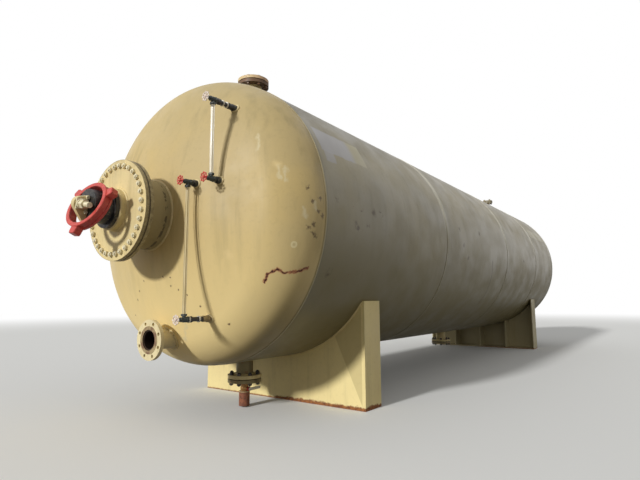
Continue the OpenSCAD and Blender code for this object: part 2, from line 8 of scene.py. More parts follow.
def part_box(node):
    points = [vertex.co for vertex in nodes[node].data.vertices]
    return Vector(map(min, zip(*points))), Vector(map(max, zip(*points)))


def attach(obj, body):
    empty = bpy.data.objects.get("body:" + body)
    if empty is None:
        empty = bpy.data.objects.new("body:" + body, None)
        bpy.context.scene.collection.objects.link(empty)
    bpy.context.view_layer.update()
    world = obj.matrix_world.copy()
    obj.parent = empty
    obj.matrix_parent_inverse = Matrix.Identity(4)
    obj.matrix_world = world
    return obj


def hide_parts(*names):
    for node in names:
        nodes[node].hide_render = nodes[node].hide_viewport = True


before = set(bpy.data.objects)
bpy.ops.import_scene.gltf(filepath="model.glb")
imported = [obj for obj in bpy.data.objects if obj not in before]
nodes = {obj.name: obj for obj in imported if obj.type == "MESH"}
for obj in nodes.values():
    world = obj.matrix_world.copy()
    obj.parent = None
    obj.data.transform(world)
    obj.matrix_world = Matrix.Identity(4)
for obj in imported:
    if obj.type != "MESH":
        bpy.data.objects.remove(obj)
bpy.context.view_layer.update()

scene = bpy.context.scene


def cadPlace(node, axis, share=0.5):
    # a place along a node's box: its low side at share 0, its middle at 0.5 and its high side at 1
    low, high = (float(corner["XYZ".index(axis)]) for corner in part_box(node))
    return low + (high - low) * share


# Sizes of the vessel in metres, as in the model, and places from its solids
vessel = {
    "radius": 0.9145,
    "wall": 0.013,
    "axisZ": 1.227,
    "frontSeam": cadPlace("shell_course_1", "X", 0),
    "rearSeam": cadPlace("shell_course_4", "X", 1),
    "straightFlange": 0.038,
    "crownRatio": 0.9,       # parts of the inside diameter
    "knuckleRatio": 0.17,
    "manwayZ": cadPlace("manway_neck", "Z"),
    "manwayBlindX": cadPlace("manway_blind", "X", 0),
    "manwayFlangeX": cadPlace("manway_flange", "X", 1),
    "outletZ": cadPlace("outlet_flange", "Z"),
    "outletRadius": 0.0605,
    "outletFlangeX": cadPlace("outlet_flange", "X", 1),
}
seamPlaces = [cadPlace(f"shell_course_{k}", "X", 0) for k in range(1, 5)] + [vessel["rearSeam"]]

# Blinded nozzles: radius and which way each points; a joint is the flange's face towards its neck
nozzleSizes = {"drain": (0.057, -1), "rear_drain": (0.057, -1), "top": (0.057, 1), "small": (0.03, 1)}
nozzles = {}
for name, (radius, up) in nozzleSizes.items():
    flange = name + "_flange"
    nozzles[name] = {"x": cadPlace(flange, "X"), "radius": radius, "up": up,
                     "joint": cadPlace(flange, "Z", 0 if up > 0 else 1)}

# Two level gauges in front of the head, each between a top and a bottom valve
gauge = {
    "wheelFront": 0.056,     # from a handwheel's front to the middle of its column
    "bodyHalf": 0.022,
    "unionHex": 0.029,
    "bonnetHex": 0.024,
    "tubeGap": 0.03,
    "armRadius": 0.0135,
    "plainArm": 0.06,        # a shorter arm has no couplings
    "rings": (0.36, 0.62),   # parts of an arm's length
    "lowRings": (0.04, 0.55),
    "bossOut": 0.024,
    "wheelOut": 0.05,
    "wheelRadius": 0.028,
    "rimRadius": 0.0035,
    "lobes": 8,
    "paleWheels": ("upper_top_wheel", "lower_bottom_wheel"),
}
columns = []
for name in ("upper", "lower"):
    top, bottom = f"wheel_{name}_top", f"wheel_{name}_bottom"
    columns.append({"name": name, "x": cadPlace(top, "X", 0) + gauge["wheelFront"], "y": cadPlace(top, "Y"),
                    "top": cadPlace(top, "Z"), "bottom": cadPlace(bottom, "Z")})


def headRise(rho):
    # how far a dished head stands out from its straight flange, at a distance from the axis
    inner = vessel["radius"] - vessel["wall"]
    crown = vessel["crownRatio"] * 2 * inner
    knuckle = vessel["knuckleRatio"] * 2 * inner
    centre = inner - knuckle
    angle = math.asin(centre / (crown - knuckle))
    drop = (crown - knuckle) * math.cos(angle)
    outerKnuckle = knuckle + vessel["wall"]
    if rho < centre + outerKnuckle * math.sin(angle):
        return math.sqrt((crown + vessel["wall"]) ** 2 - rho ** 2) - drop
    return math.sqrt(max(outerKnuckle ** 2 - (rho - centre) ** 2, 0))


def headX(y, z):
    rho = math.hypot(y, z - vessel["axisZ"])
    return vessel["frontSeam"] - vessel["straightFlange"] - headRise(rho)


def addObject(name, data):
    made = bpy.data.objects.new(name, data)
    scene.collection.objects.link(made)
    return made


# Camera, placed where the photograph was taken
camera = {
    "place": (-2.8209, -2.4088, 0.7169),
    "yaw": 36.363,           # degrees from +X towards +Y
    "pitch": 7.214,
    "roll": -0.35,
    "lens": 26.67,           # millimetres on a 36 mm sensor
}


def makeCamera():
    yaw, pitch, roll = (math.radians(camera[k]) for k in ("yaw", "pitch", "roll"))
    level = math.cos(pitch)
    forward = Vector((math.cos(yaw) * level, math.sin(yaw) * level, math.sin(pitch)))
    side = Vector((math.sin(yaw), -math.cos(yaw), 0))
    up = side.cross(forward)
    right = side * math.cos(roll) + up * math.sin(roll)
    top = up * math.cos(roll) - side * math.sin(roll)
    made = addObject("camera", bpy.data.cameras.new("camera"))
    made.data.sensor_width = 36
    made.data.lens = camera["lens"]
    made.data.clip_start, made.data.clip_end = 0.05, 400
    turn = Matrix((right, top, -forward)).transposed().to_4x4()
    made.matrix_world = Matrix.Translation(camera["place"]) @ turn
    scene.camera = made


makeCamera()
print("camera made")


# Colours and node helpers
def toLinear(hexColour):
    channels = [int(hexColour[i:i + 2], 16) / 255 for i in (1, 3, 5)]
    return tuple(c / 12.92 if c <= 0.04045 else ((c + 0.055) / 1.055) ** 2.4 for c in channels) + (1.0,)


# The nodes used most, by what they do: type, inputs in the order given with their usual values, settings and
# output. A noise has about as many patches in a metre as its scale says: 40.0 gives patches of 25 mm.
smooth = {"interpolation_type": "SMOOTHSTEP"}
nodeWords = {
    "noise": ("ShaderNodeTexNoise", {0: None, "Scale": 1.0, "Detail": 4.0, "Roughness": 0.55}, {}, 0),
    "stretch": ("ShaderNodeMapping", {"Vector": None, "Scale": None}, {}, 0),
    "ramp": ("ShaderNodeMapRange", {0: None, 1: 0.0, 2: 1.0, 3: 0.0, 4: 1.0}, smooth, 0),
    "fall": ("ShaderNodeMapRange", {0: None, 1: 0.0, 2: 1.0, 3: 1.0, 4: 0.0}, smooth, 0),
    "mix": ("ShaderNodeMix", {6: None, 7: None, 0: None}, {"data_type": "RGBA"}, 2),
    "axes": ("ShaderNodeSeparateXYZ", {0: None}, {}, None),
    "gap": ("ShaderNodeVectorMath", {0: None, 1: None}, {"operation": "DISTANCE"}, "Value"),
    "dot": ("ShaderNodeVectorMath", {0: None, 1: None}, {"operation": "DOT_PRODUCT"}, "Value"),
    "vectorScale": ("ShaderNodeVectorMath", {0: None, 3: None}, {"operation": "SCALE"}, 0),
}
vectorWords = {"vectorPlus": "ADD", "vectorMinus": "SUBTRACT", "vectorTimes": "MULTIPLY",
               "vectorSize": "ABSOLUTE"}
numberWords = {"plus": "ADD", "minus": "SUBTRACT", "times": "MULTIPLY", "least": "MINIMUM", "most": "MAXIMUM",
               "size": "ABSOLUTE", "sine": "SINE", "turn": "ARCTAN2", "rest": "MODULO"}
for nodeType, words in (("ShaderNodeVectorMath", vectorWords), ("ShaderNodeMath", numberWords)):
    for word, operation in words.items():
        nodeWords[word] = (nodeType, {0: None, 1: None}, {"operation": operation}, 0)


def put(tree, kind, *values, out=0, **settings):
    # adds a node, by its type with a dictionary of inputs or by its word in nodeWords; sockets are linked,
    # hex colours are turned to linear, and one output comes back, or all of them
    inputs = values[0] if values else {}
    if kind in nodeWords:
        kind, usual, settings, out = nodeWords[kind]
        inputs = {**usual, **dict(zip(usual, values))}
    made = tree.nodes.new(kind)
    for key, value in settings.items():
        setattr(made, key, value)
    for key, value in inputs.items():
        if isinstance(value, bpy.types.NodeSocket):
            tree.links.new(value, made.inputs[key])
        elif value is not None:
            made.inputs[key].default_value = toLinear(value) if isinstance(value, str) else value
    return made.outputs if out is None else made.outputs[out]


def layer(tree, under, over, mask, share=None):
    # lays one colour over another by a mask, or by a share of it
    mask = mask if share is None else put(tree, "times", mask, share)
    return put(tree, "mix", under, over, mask)


def product(tree, first, *others):
    for other in others:
        first = put(tree, "times", first, other)
    return first


def patches(tree, coords, scale, low, high, bottom=0.0, top=1.0, detail=4.0, roughness=0.55):
    # a mask of soft-edged patches, bottom between them and top on them
    return put(tree, "ramp", put(tree, "noise", coords, scale, detail, roughness), low, high, bottom, top)


def offFrom(tree, value, middle):
    return put(tree, "size", put(tree, "minus", value, middle))


def lineGap(tree, coords, start, end):
    # distance from a stretch between two points
    run = Vector(end) - Vector(start)
    rel = put(tree, "vectorMinus", coords, start)
    reach = {0: put(tree, "dot", rel, tuple(run)), 1: 1 / run.length_squared}
    part = put(tree, "ShaderNodeMath", reach, operation="MULTIPLY", use_clamp=True)
    return put(tree, "gap", rel, put(tree, "vectorScale", tuple(run), part))


def leastOf(tree, values):
    least = values[0]
    for value in values[1:]:
        least = put(tree, "least", least, value)
    return least


def startMaterial(name):
    made = bpy.data.materials.new(name)
    made.use_nodes = True
    made.node_tree.nodes.clear()
    return made, made.node_tree, put(made.node_tree, "ShaderNodeTexCoord", out="Object")


def endMaterial(tree, colour, roughness, height=None, strength=0.2, **constants):
    inputs = {"Base Color": colour, "Roughness": roughness}
    inputs.update({key.replace("_", " "): value for key, value in constants.items()})
    if height is not None:
        relief = {"Height": height, "Strength": strength, "Distance": 0.002}
        inputs["Normal"] = put(tree, "ShaderNodeBump", relief)
    shader = put(tree, "ShaderNodeBsdfPrincipled", inputs)
    put(tree, "ShaderNodeOutputMaterial", {"Surface": shader}, out=None)


# Weathered alkyd enamel: sun has chalked it and rain has drawn grime down it, so it is matt and uneven
paintLook = {
    "fresh": "#c6ad72",
    "chalk": "#b9a473",
    "grime": "#83754d",
    "grimeAmount": 0.42,
    "fineAmount": 0.12,
    "runAmount": 0.16,
    "rust": "#7a3f27",
    "rustDark": "#4b2a1e",
    "rustTones": ("#6f432b", "#9c6638"),
    "bare": "#4e3b28",       # scuffs through the paint
    "pale": "#d3c7a1",
    "roughness": 0.5,
}


def enamelBase(tree, coords, look):
    # clouds of chalk, runs of grime, fine dirt and pale runs
    colour = layer(tree, look["fresh"], look["chalk"], patches(tree, coords, 1.6, 0.35, 0.68, detail=6.0))
    tall = put(tree, "stretch", coords, (11, 11, 0.9))
    runs = patches(tree, tall, 1.0, 0.48, 0.75, 0.0, look["grimeAmount"], 5.0, 0.6)
    colour = layer(tree, colour, look["grime"], runs)
    fine = patches(tree, coords, 38.0, 0.52, 0.74, 0.0, look["fineAmount"], 3.0)
    colour = layer(tree, colour, look["grime"], fine)
    taller = put(tree, "stretch", coords, (17, 17, 1.3))
    paleRuns = patches(tree, taller, 1.0, 0.6, 0.8, 0.0, look["runAmount"], 4.0, 0.6)
    return layer(tree, colour, look["pale"], paleRuns)


def enamelEnd(tree, coords, colour, look, rust, relief=None):
    # fine orange peel and slow waves as relief; rust is rough and lies lower
    middle = look["roughness"]
    gloss = patches(tree, coords, 5.0, 0.3, 0.7, middle - 0.07, middle + 0.12, 5.0)
    gloss = put(tree, "most", gloss, put(tree, "times", rust, 0.85))
    waves = put(tree, "times", put(tree, "noise", coords, 3.2, 2.0), 6.0)
    height = put(tree, "plus", put(tree, "noise", coords, 90.0, 2.0), waves)
    height = put(tree, "plus", height, put(tree, "times", rust, -2.0))
    if relief is not None:
        height = put(tree, "plus", height, relief)
    endMaterial(tree, colour, gloss, height, 0.12, Specular_IOR_Level=0.35)


def speckles(tree, coords, scale, cut):
    # small ragged spots
    return patches(tree, coords, scale, cut, cut + 0.05, detail=3.0, roughness=0.6)


def shakenCoords(tree, coords, scale, amount):
    # moves the coordinates about, so that the edge of a mark is ragged
    shift = put(tree, "ShaderNodeTexNoise", {"Vector": coords, "Scale": scale, "Detail": 3.0}, out="Color")
    centred = put(tree, "vectorMinus", shift, (0.5, 0.5, 0.5))
    return put(tree, "vectorPlus", coords, put(tree, "vectorScale", centred, amount))


def nearPoints(tree, coords, points, inner, outer):
    return put(tree, "fall", leastOf(tree, [put(tree, "gap", coords, p) for p in points]), inner, outer)


def nearLine(tree, coords, points, inner, outer):
    gap = leastOf(tree, [lineGap(tree, coords, a, b) for a, b in zip(points, points[1:])])
    return put(tree, "fall", gap, inner, outer)


def onHead(pairs):
    return [(headX(y, z), y, z) for y, z in pairs]


def washed(tree, z, colour, washes):
    for tone, *span in washes:
        colour = layer(tree, colour, tone, put(tree, "ramp", z, *span))
    return colour


seamLook = {
    # the crown tone is a painted highlight on each weld, and the grime tone beside it is painted shade
    "grime": "#615a44",
    "crown": "#c6bc98",
    "crownHalf": (0.006, 0.0085),
    "shadeReach": (0.008, 0.022),
    "shadeShare": 0.45,
    "crownShare": 0.42,
    "seamHighlight": "#c4beaa",    # painted highlight: a pale band over the rear welds' upper part
    "seamHighlightX": (0.5, 0.6),
    "seamHighlightZ": (1.2, 1.55),
    "ripples": 800.0,        # radians of ripple for one radian around the vessel
}


def paintSeams(tree, coords, colour, seamHighlight=None):
    # painted highlight on the crown of each weld around the vessel and painted shade beside it, and its
    # ripples as relief
    x, y, z = put(tree, "axes", coords)
    gap = leastOf(tree, [offFrom(tree, x, seam) for seam in seamPlaces])
    crown = put(tree, "fall", gap, *seamLook["crownHalf"])
    beside = put(tree, "fall", gap, *seamLook["shadeReach"])
    colour = layer(tree, colour, seamLook["grime"], beside, seamLook["shadeShare"])
    colour = layer(tree, colour, seamLook["crown"], crown, seamLook["crownShare"])
    if seamHighlight:
        band = product(tree, put(tree, "fall", gap, seamHighlight * 0.85, seamHighlight * 1.15),
                       put(tree, "ramp", z, *seamLook["seamHighlightZ"], 0.0, 0.9),
                       put(tree, "ramp", x, *seamLook["seamHighlightX"]))
        colour = layer(tree, colour, seamLook["seamHighlight"], band)
    angle = put(tree, "turn", put(tree, "minus", z, vessel["axisZ"]), y)
    ripples = put(tree, "sine", put(tree, "times", angle, seamLook["ripples"]))
    return colour, product(tree, ripples, crown, 1.2)


# Marks on the front head, each at its place across and its height
headMarks = {
    # the first wash is painted bounce light from the ground on the lower half; the second is the top bleached
    # by the sun
    "washes": [("#f5dc9c", 0.4, 1.3, 0.9, 0.0),      # tone, lower and upper height, and strength at each
               ("#a2946c", 1.35, 2.2, 0.0, 0.45)],
    # painted shade on the head's low rim, next to the seam
    "lowShade": "#5a5034",
    "lowShadeX": (-0.93, -0.82),
    "lowShadeZ": (0.5, 0.95),
    "scar": [(-0.701, 0.812), (-0.728, 0.855), (-0.763, 0.878), (-0.786, 0.859), (-0.818, 0.867),
             (-0.845, 0.887)],
    "scarTone": "#3d1c16",
    "scarHalo": "#a8573c",
    "paleRing": (-0.843, 1.005),
    "ringTone": "#dccd9c",
    "faintSpots": [(-0.546, 0.958), (-0.79, 1.43)],
    "faintTone": "#dcc48b",
    "dashes": [[(-0.797, 1.419), (-0.804, 1.352)], [(-0.82, 1.415), (-0.827, 1.342)],
               [(-0.678, 1.595), (-0.691, 1.519)], [(-0.183, 0.593), (-0.133, 0.49)]],
    "specks": [(0.099, 0.835), (0.175, 0.777), (0.221, 0.724), (0.321, 0.63), (-0.091, 0.854),
               (-0.147, 0.845), (-0.143, 0.8), (-0.196, 0.779), (-0.25, 0.749), (-0.321, 0.686),
               (-0.465, 0.591)],
    "scuffs": [(-0.913, 1.265), (-0.905, 1.243), (-0.912, 1.19), (-0.913, 1.171), (-0.893, 1.313),
               (-0.902, 1.119), (-0.889, 1.098), (-0.895, 1.07), (-0.896, 1.059)],
    "smears": [[(-0.908, 1.235), (-0.909, 1.2)], [(-0.885, 1.2), (-0.889, 1.15)]],
}


def makeHeadPaint():
    look, marks = paintLook, headMarks
    made, tree, coords = startMaterial("weatheredLitAndShadedEnamelHead")
    x, _, z = put(tree, "axes", coords)
    # painted light from the ground makes the lower half lighter, the sun bleaches the top, and painted shade
    # darkens the low rim
    colour = washed(tree, z, enamelBase(tree, coords, look), marks["washes"])
    paintedLowShade = product(tree, put(tree, "ramp", x, *marks["lowShadeX"], 0.0, 0.75),
                     put(tree, "fall", z, *marks["lowShadeZ"]))
    colour = layer(tree, colour, marks["lowShade"], paintedLowShade)
    ragged = shakenCoords(tree, coords, 30.0, 0.05)
    for key, reach, strength in (("dashes", 0.018, 0.6), ("smears", 0.02, 0.7)):
        for pairs in marks[key]:
            stroke = nearLine(tree, ragged, onHead(pairs), 0.0, reach)
            colour = layer(tree, colour, look["pale"], stroke, strength)
    ring = put(tree, "gap", shakenCoords(tree, coords, 40.0, 0.006), onHead([marks["paleRing"]])[0])
    colour = layer(tree, colour, marks["ringTone"], put(tree, "ramp", ring, 0.0165, 0.0205, 0.9, 0.0))
    colour = layer(tree, colour, look["chalk"], put(tree, "ramp", ring, 0.006, 0.011, 0.6, 0.0))
    faint = nearPoints(tree, ragged, onHead(marks["faintSpots"]), 0.0, 0.035)
    colour = layer(tree, colour, marks["faintTone"], faint, 0.6)
    scuffs = nearPoints(tree, shakenCoords(tree, coords, 55.0, 0.045), onHead(marks["scuffs"]), 0.004, 0.018)
    colour = layer(tree, colour, look["bare"], scuffs, 0.8)
    specks = nearPoints(tree, shakenCoords(tree, coords, 70.0, 0.02), onHead(marks["specks"]), 0.0015, 0.009)
    colour = layer(tree, colour, look["rustDark"], specks)
    scarCoords = shakenCoords(tree, coords, 45.0, 0.03)
    halo = nearLine(tree, scarCoords, onHead(marks["scar"]), 0.005, 0.013)
    colour = layer(tree, colour, marks["scarHalo"], halo, 0.75)
    flakes = patches(tree, coords, 48.0, 0.38, 0.5, 0.35, 1.0, 2.0)
    scar = product(tree, nearLine(tree, scarCoords, onHead(marks["scar"]), 0.003, 0.0078), flakes)
    colour = layer(tree, colour, marks["scarTone"], scar)
    rust = put(tree, "times", speckles(tree, coords, 55.0, 0.74), 0.5)
    colour, relief = paintSeams(tree, coords, layer(tree, colour, look["rust"], rust))
    enamelEnd(tree, coords, colour, look, put(tree, "most", rust, scar), relief)
    return made


# Painted shade: the shell and the rear head wear a greyer copy of the paint, as their side stands in the
# shade
shadedShellLook = dict(paintLook, fresh="#a99f83", chalk="#a29b88", grime="#776e57", grimeAmount=0.32,
                 pale="#c2bda9", roughness=0.42)
shellMarks = {
    "washes": [("#746a46", 0.75, 1.5, 0.9, 0.0),     # painted shade: the lower half darker and more olive
               ("#80796d", 1.6, 2.15, 0.0, 0.65)],
    "dull": "#58544a",
    "dullX": (-0.7, 1.6),
    "dullZ": (1.6, 2.05),
    "sheenBand": "#cfc9b8",     # painted sheen: a paler band along the vessel, towards its rear
    "sheenBandX": (0.8, 2.6),
    "sheenBandZ": 1.32,
    "sheenBandHalf": (0.04, 0.3),
    "bleached": ("#b4b2b3", "#c0b899"),
    "bleachedX": (-0.34, -0.26),
    # pale patches: centre, half sizes and strength
    "patches": [((-0.41, -0.80, 1.665), (0.255, 0.075, 0.08), 0.8),
                ((-0.60, -0.855, 1.555), (0.05, 0.05, 0.035), 0.65),
                ((4.9, -0.80, 1.66), (0.45, 0.1, 0.06), 0.7)],
    "scuffs": [(-0.61, -0.912, 1.291), (-0.36, -0.914, 1.255), (-0.275, -0.912, 1.166), (-0.399, -0.91, 1.14),
               (-0.11, -0.913, 1.28), (-0.206, -0.914, 1.267), (-0.422, -0.913, 1.17),
               (-0.608, -0.844, 0.875)],
    "spots": [(1.355, -0.907, 1.345), (1.915, -0.904, 1.366), (1.562, -0.906, 1.1), (1.432, -0.914, 1.205),
              (3.621, -0.914, 1.192)],
    "scratch": [(2.304, -0.907, 1.112), (2.353, -0.876, 0.963), (2.37, -0.795, 0.775),
                (2.324, -0.718, 0.661)],
    "seamHighlight": 0.042,        # half width of the painted highlight over a weld
}


def insideBox(tree, coords, middle, half, soft):
    rel = put(tree, "vectorSize", put(tree, "vectorMinus", coords, middle))
    x, y, z = put(tree, "axes", put(tree, "vectorMinus", rel, half))
    return put(tree, "fall", put(tree, "most", put(tree, "most", x, y), z), -soft, soft)


def makeShellPaint():
    look, marks = shadedShellLook, shellMarks
    made, tree, coords = startMaterial("weatheredShadedEnamelShell")
    x, _, z = put(tree, "axes", coords)
    ragged = shakenCoords(tree, coords, 20.0, 0.06)
    # the washes: painted shade on the lower half, and a greyer top
    colour = washed(tree, z, enamelBase(tree, coords, look), marks["washes"])
    dull = product(tree, put(tree, "ramp", z, *marks["dullZ"]),
                   put(tree, "ramp", x, *marks["dullX"], 0.6, 0.0))
    colour = layer(tree, colour, marks["dull"], dull)
    # painted sheen: a paler band at mid height along the vessel's side
    band = put(tree, "ramp", offFrom(tree, z, marks["sheenBandZ"]), *marks["sheenBandHalf"], 0.5, 0.0)
    sheenBand = product(tree, band, put(tree, "ramp", x, *marks["sheenBandX"]))
    colour = layer(tree, colour, marks["sheenBand"], sheenBand)
    neat = shakenCoords(tree, coords, 14.0, 0.02)
    bleached = layer(tree, *marks["bleached"], put(tree, "ramp", x, *marks["bleachedX"]))
    for middle, half, strength in marks["patches"]:
        colour = layer(tree, colour, bleached, insideBox(tree, neat, middle, half, 0.006), strength)
    scuffs = nearPoints(tree, ragged, marks["scuffs"], 0.004, 0.038)
    scuffs = product(tree, scuffs, patches(tree, coords, 26.0, 0.42, 0.6))
    colour = layer(tree, colour, look["bare"], scuffs, 0.8)
    spots = nearPoints(tree, ragged, marks["spots"], 0.006, 0.035)
    colour = layer(tree, colour, look["bare"], spots, 0.6)
    scratch = nearLine(tree, coords, marks["scratch"], 0.004, 0.012)
    colour = layer(tree, colour, look["bare"], scratch, 0.6)
    rust = put(tree, "times", speckles(tree, coords, 42.0, 0.73), 0.6)
    colour = layer(tree, colour, look["rust"], rust)
    colour, relief = paintSeams(tree, coords, colour, marks["seamHighlight"])
    enamelEnd(tree, coords, colour, look, rust, relief)
    return made


def axisGap(tree, coords, z):
    # distance from a line along the vessel in its middle plane
    flat = put(tree, "vectorTimes", coords, (0.0, 1.0, 1.0))
    return put(tree, "gap", flat, (0.0, 0.0, z))


manwayGrimeAndShade = {
    "rimRadius": (0.2765, 0.2785),
    "rimTone": "#6d6040",
    "gapX": -1.4042,         # dark line between the two rings
    "gapTone": "#2c2318",
    "neckRadius": (0.21, 0.225),
    "neckX": (-1.352, -1.345),
    "neckShade": "#6b6142",
    "rowX": -1.25,           # a row of dark spots around the neck
    "rowRadius": (0.198, 0.21),
    "rowTone": "#241c14",
}


def grimeAndShadeOnManway(tree, coords, colour):
    # grime and rust on the rims of the two rings and on the neck behind them, and painted shade on that neck
    dirt = manwayGrimeAndShade
    x = put(tree, "axes", coords)[0]
    gap = axisGap(tree, coords, vessel["manwayZ"])
    outside = put(tree, "ramp", gap, *dirt["rimRadius"])
    mottle = patches(tree, coords, 55.0, 0.3, 0.65, 0.35, 0.8, 5.0, 0.7)
    colour = layer(tree, colour, dirt["rimTone"], product(tree, outside, mottle))
    line = put(tree, "ramp", offFrom(tree, x, dirt["gapX"]), 0.0025, 0.006, 0.85, 0.0)
    colour = layer(tree, colour, dirt["gapTone"], product(tree, line, outside))
    # painted shade: the neck behind the flange is darker
    neck = product(tree, put(tree, "fall", gap, *dirt["neckRadius"]), put(tree, "ramp", x, *dirt["neckX"]))
    colour = layer(tree, colour, dirt["neckShade"], neck, 0.6)
    row = product(tree, put(tree, "fall", offFrom(tree, x, dirt["rowX"]), 0.005, 0.011),
                  patches(tree, coords, 30.0, 0.45, 0.52, detail=2.0),
                  put(tree, "fall", gap, *dirt["rowRadius"]))
    return layer(tree, colour, dirt["rowTone"], row)


outletRustAndShade = {
    "faceX": (-1.1935, -1.1925),
    "faceRadius": (0.0775, 0.0795),
    "faceTones": ("#a08d67", "#785c44"),
    "stepX": (-1.168, -1.163),
    "stepRadius": (0.0575, 0.059),
    "stepRustAndShade": "#3c2c1d",
    "boreRadius": (0.0515, 0.0535),
    "boreRustAndShade": "#21160f",
}


def rustAndShadeOnOutlet(tree, coords, colour):
    # bare sealing face with a rusty rim, and a rusty step and bore that painted shade darkens to near black
    dirt = outletRustAndShade
    x = put(tree, "axes", coords)[0]
    gap = axisGap(tree, coords, vessel["outletZ"])
    face = product(tree, put(tree, "fall", gap, *dirt["faceRadius"]), put(tree, "fall", x, *dirt["faceX"]))
    bare = layer(tree, *dirt["faceTones"], patches(tree, coords, 28.0, 0.42, 0.62))
    colour = layer(tree, colour, bare, face)
    # painted shade in the recess: the step and the bore darker than rust
    step = product(tree, put(tree, "fall", gap, *dirt["stepRadius"]), put(tree, "fall", x, *dirt["stepX"]))
    colour = layer(tree, colour, dirt["stepRustAndShade"], step)
    return layer(tree, colour, dirt["boreRustAndShade"], put(tree, "fall", gap, *dirt["boreRadius"]))


webCorner = {
    "tone": "#9f8f5f",
    "tipZ": 1.564,
    "slope": 0.4825,
    "endY": (-0.742, -0.738),
}


def endTriangle(tree, coords, colour):
    # a corner of the saddle's web painted darker: below a slope, out to the web's end
    _, y, z = put(tree, "axes", coords)
    edge = put(tree, "times", put(tree, "minus", z, webCorner["tipZ"]), webCorner["slope"])
    inside = put(tree, "ramp", put(tree, "minus", y, edge), -0.004, 0.004, 0.4, 0.0)
    inside = product(tree, inside, put(tree, "ramp", y, *webCorner["endY"]))
    return layer(tree, colour, webCorner["tone"], inside)


def makeFittingPaint(name, look, rustScale=45.0, rustCut=0.68, baseRust=None, dirt=None):
    # baseRust is a height in metres to which rust creeps up from the ground
    made, tree, coords = startMaterial(name)
    colour = enamelBase(tree, coords, look)
    rust = put(tree, "times", speckles(tree, coords, rustScale, rustCut), 0.7)
    if baseRust:
        _, y, z = put(tree, "axes", coords)
        climb = put(tree, "ramp", y, -0.08, 0.06, baseRust, baseRust * 0.4)
        climb = product(tree, climb, put(tree, "times", put(tree, "noise", coords, 26.0, 6.0, 0.75), 2.0))
        rust = put(tree, "most", rust, put(tree, "fall", put(tree, "minus", z, climb), -0.008, 0.004))
    rusty = layer(tree, *look["rustTones"], patches(tree, coords, 50.0, 0.35, 0.65))
    colour = layer(tree, colour, rusty, rust)
    if dirt:
        colour = dirt(tree, coords, colour)
    enamelEnd(tree, coords, colour, look, rust)
    return made


def makePlainFinish(name, colours, roughness, scale, wear=None, wearAmount=0.3, metallic=0.0):
    # two tones in a fine pattern, and a third where the finish has worn
    made, tree, coords = startMaterial(name)
    colour = layer(tree, *colours, patches(tree, coords, scale, 0.35, 0.65))
    if wear:
        worn = patches(tree, coords, scale * 2.3, 0.56, 0.66, 0.0, wearAmount, 5.0, 0.65)
        colour = layer(tree, colour, wear, worn)
    gloss = patches(tree, coords, scale * 1.7, 0.3, 0.7, roughness - 0.08, roughness + 0.12)
    endMaterial(tree, colour, gloss, put(tree, "noise", coords, scale * 5, 3.0), 0.25, Metallic=metallic)
    return made


# Two-tone finishes on the gauges, and where one tone gives way to the other
bossLook = {"black": ("#242623", "#4b4536"), "tan": ("#a08c62", "#6f5c40"), "changeZ": (0.8, 0.9)}
sleeveLook = {"cream": ("#ebe4d0", "#d9cfb4"), "tan": ("#d8c9a0", "#c6b484"), "changeY": (-0.45, -0.42)}


def makeBossPaint():
    # black on the upper fittings, and the vessel's own paint on the lowest
    made, tree, coords = startMaterial("gaugeBossEnamel")
    z = put(tree, "axes", coords)[2]
    mottle = put(tree, "noise", coords, 60.0)
    black = layer(tree, *bossLook["black"], put(tree, "ramp", mottle, 0.5, 0.65))
    tan = layer(tree, *bossLook["tan"], put(tree, "ramp", mottle, 0.45, 0.62))
    endMaterial(tree, layer(tree, tan, black, put(tree, "ramp", z, *bossLook["changeZ"])), 0.5)
    return made


def makeTubeFinish():
    # clouded sleeves: cream on the upper gauge, tan on the lower
    made, tree, coords = startMaterial("cloudedGaugeSleeve")
    y = put(tree, "axes", coords)[1]
    cloud = patches(tree, put(tree, "stretch", coords, (1, 1, 0.25)), 24.0, 0.35, 0.65)
    cream, tan = (layer(tree, *sleeveLook[key], cloud) for key in ("cream", "tan"))
    endMaterial(tree, layer(tree, cream, tan, put(tree, "ramp", y, *sleeveLook["changeY"])), 0.22)
    return made


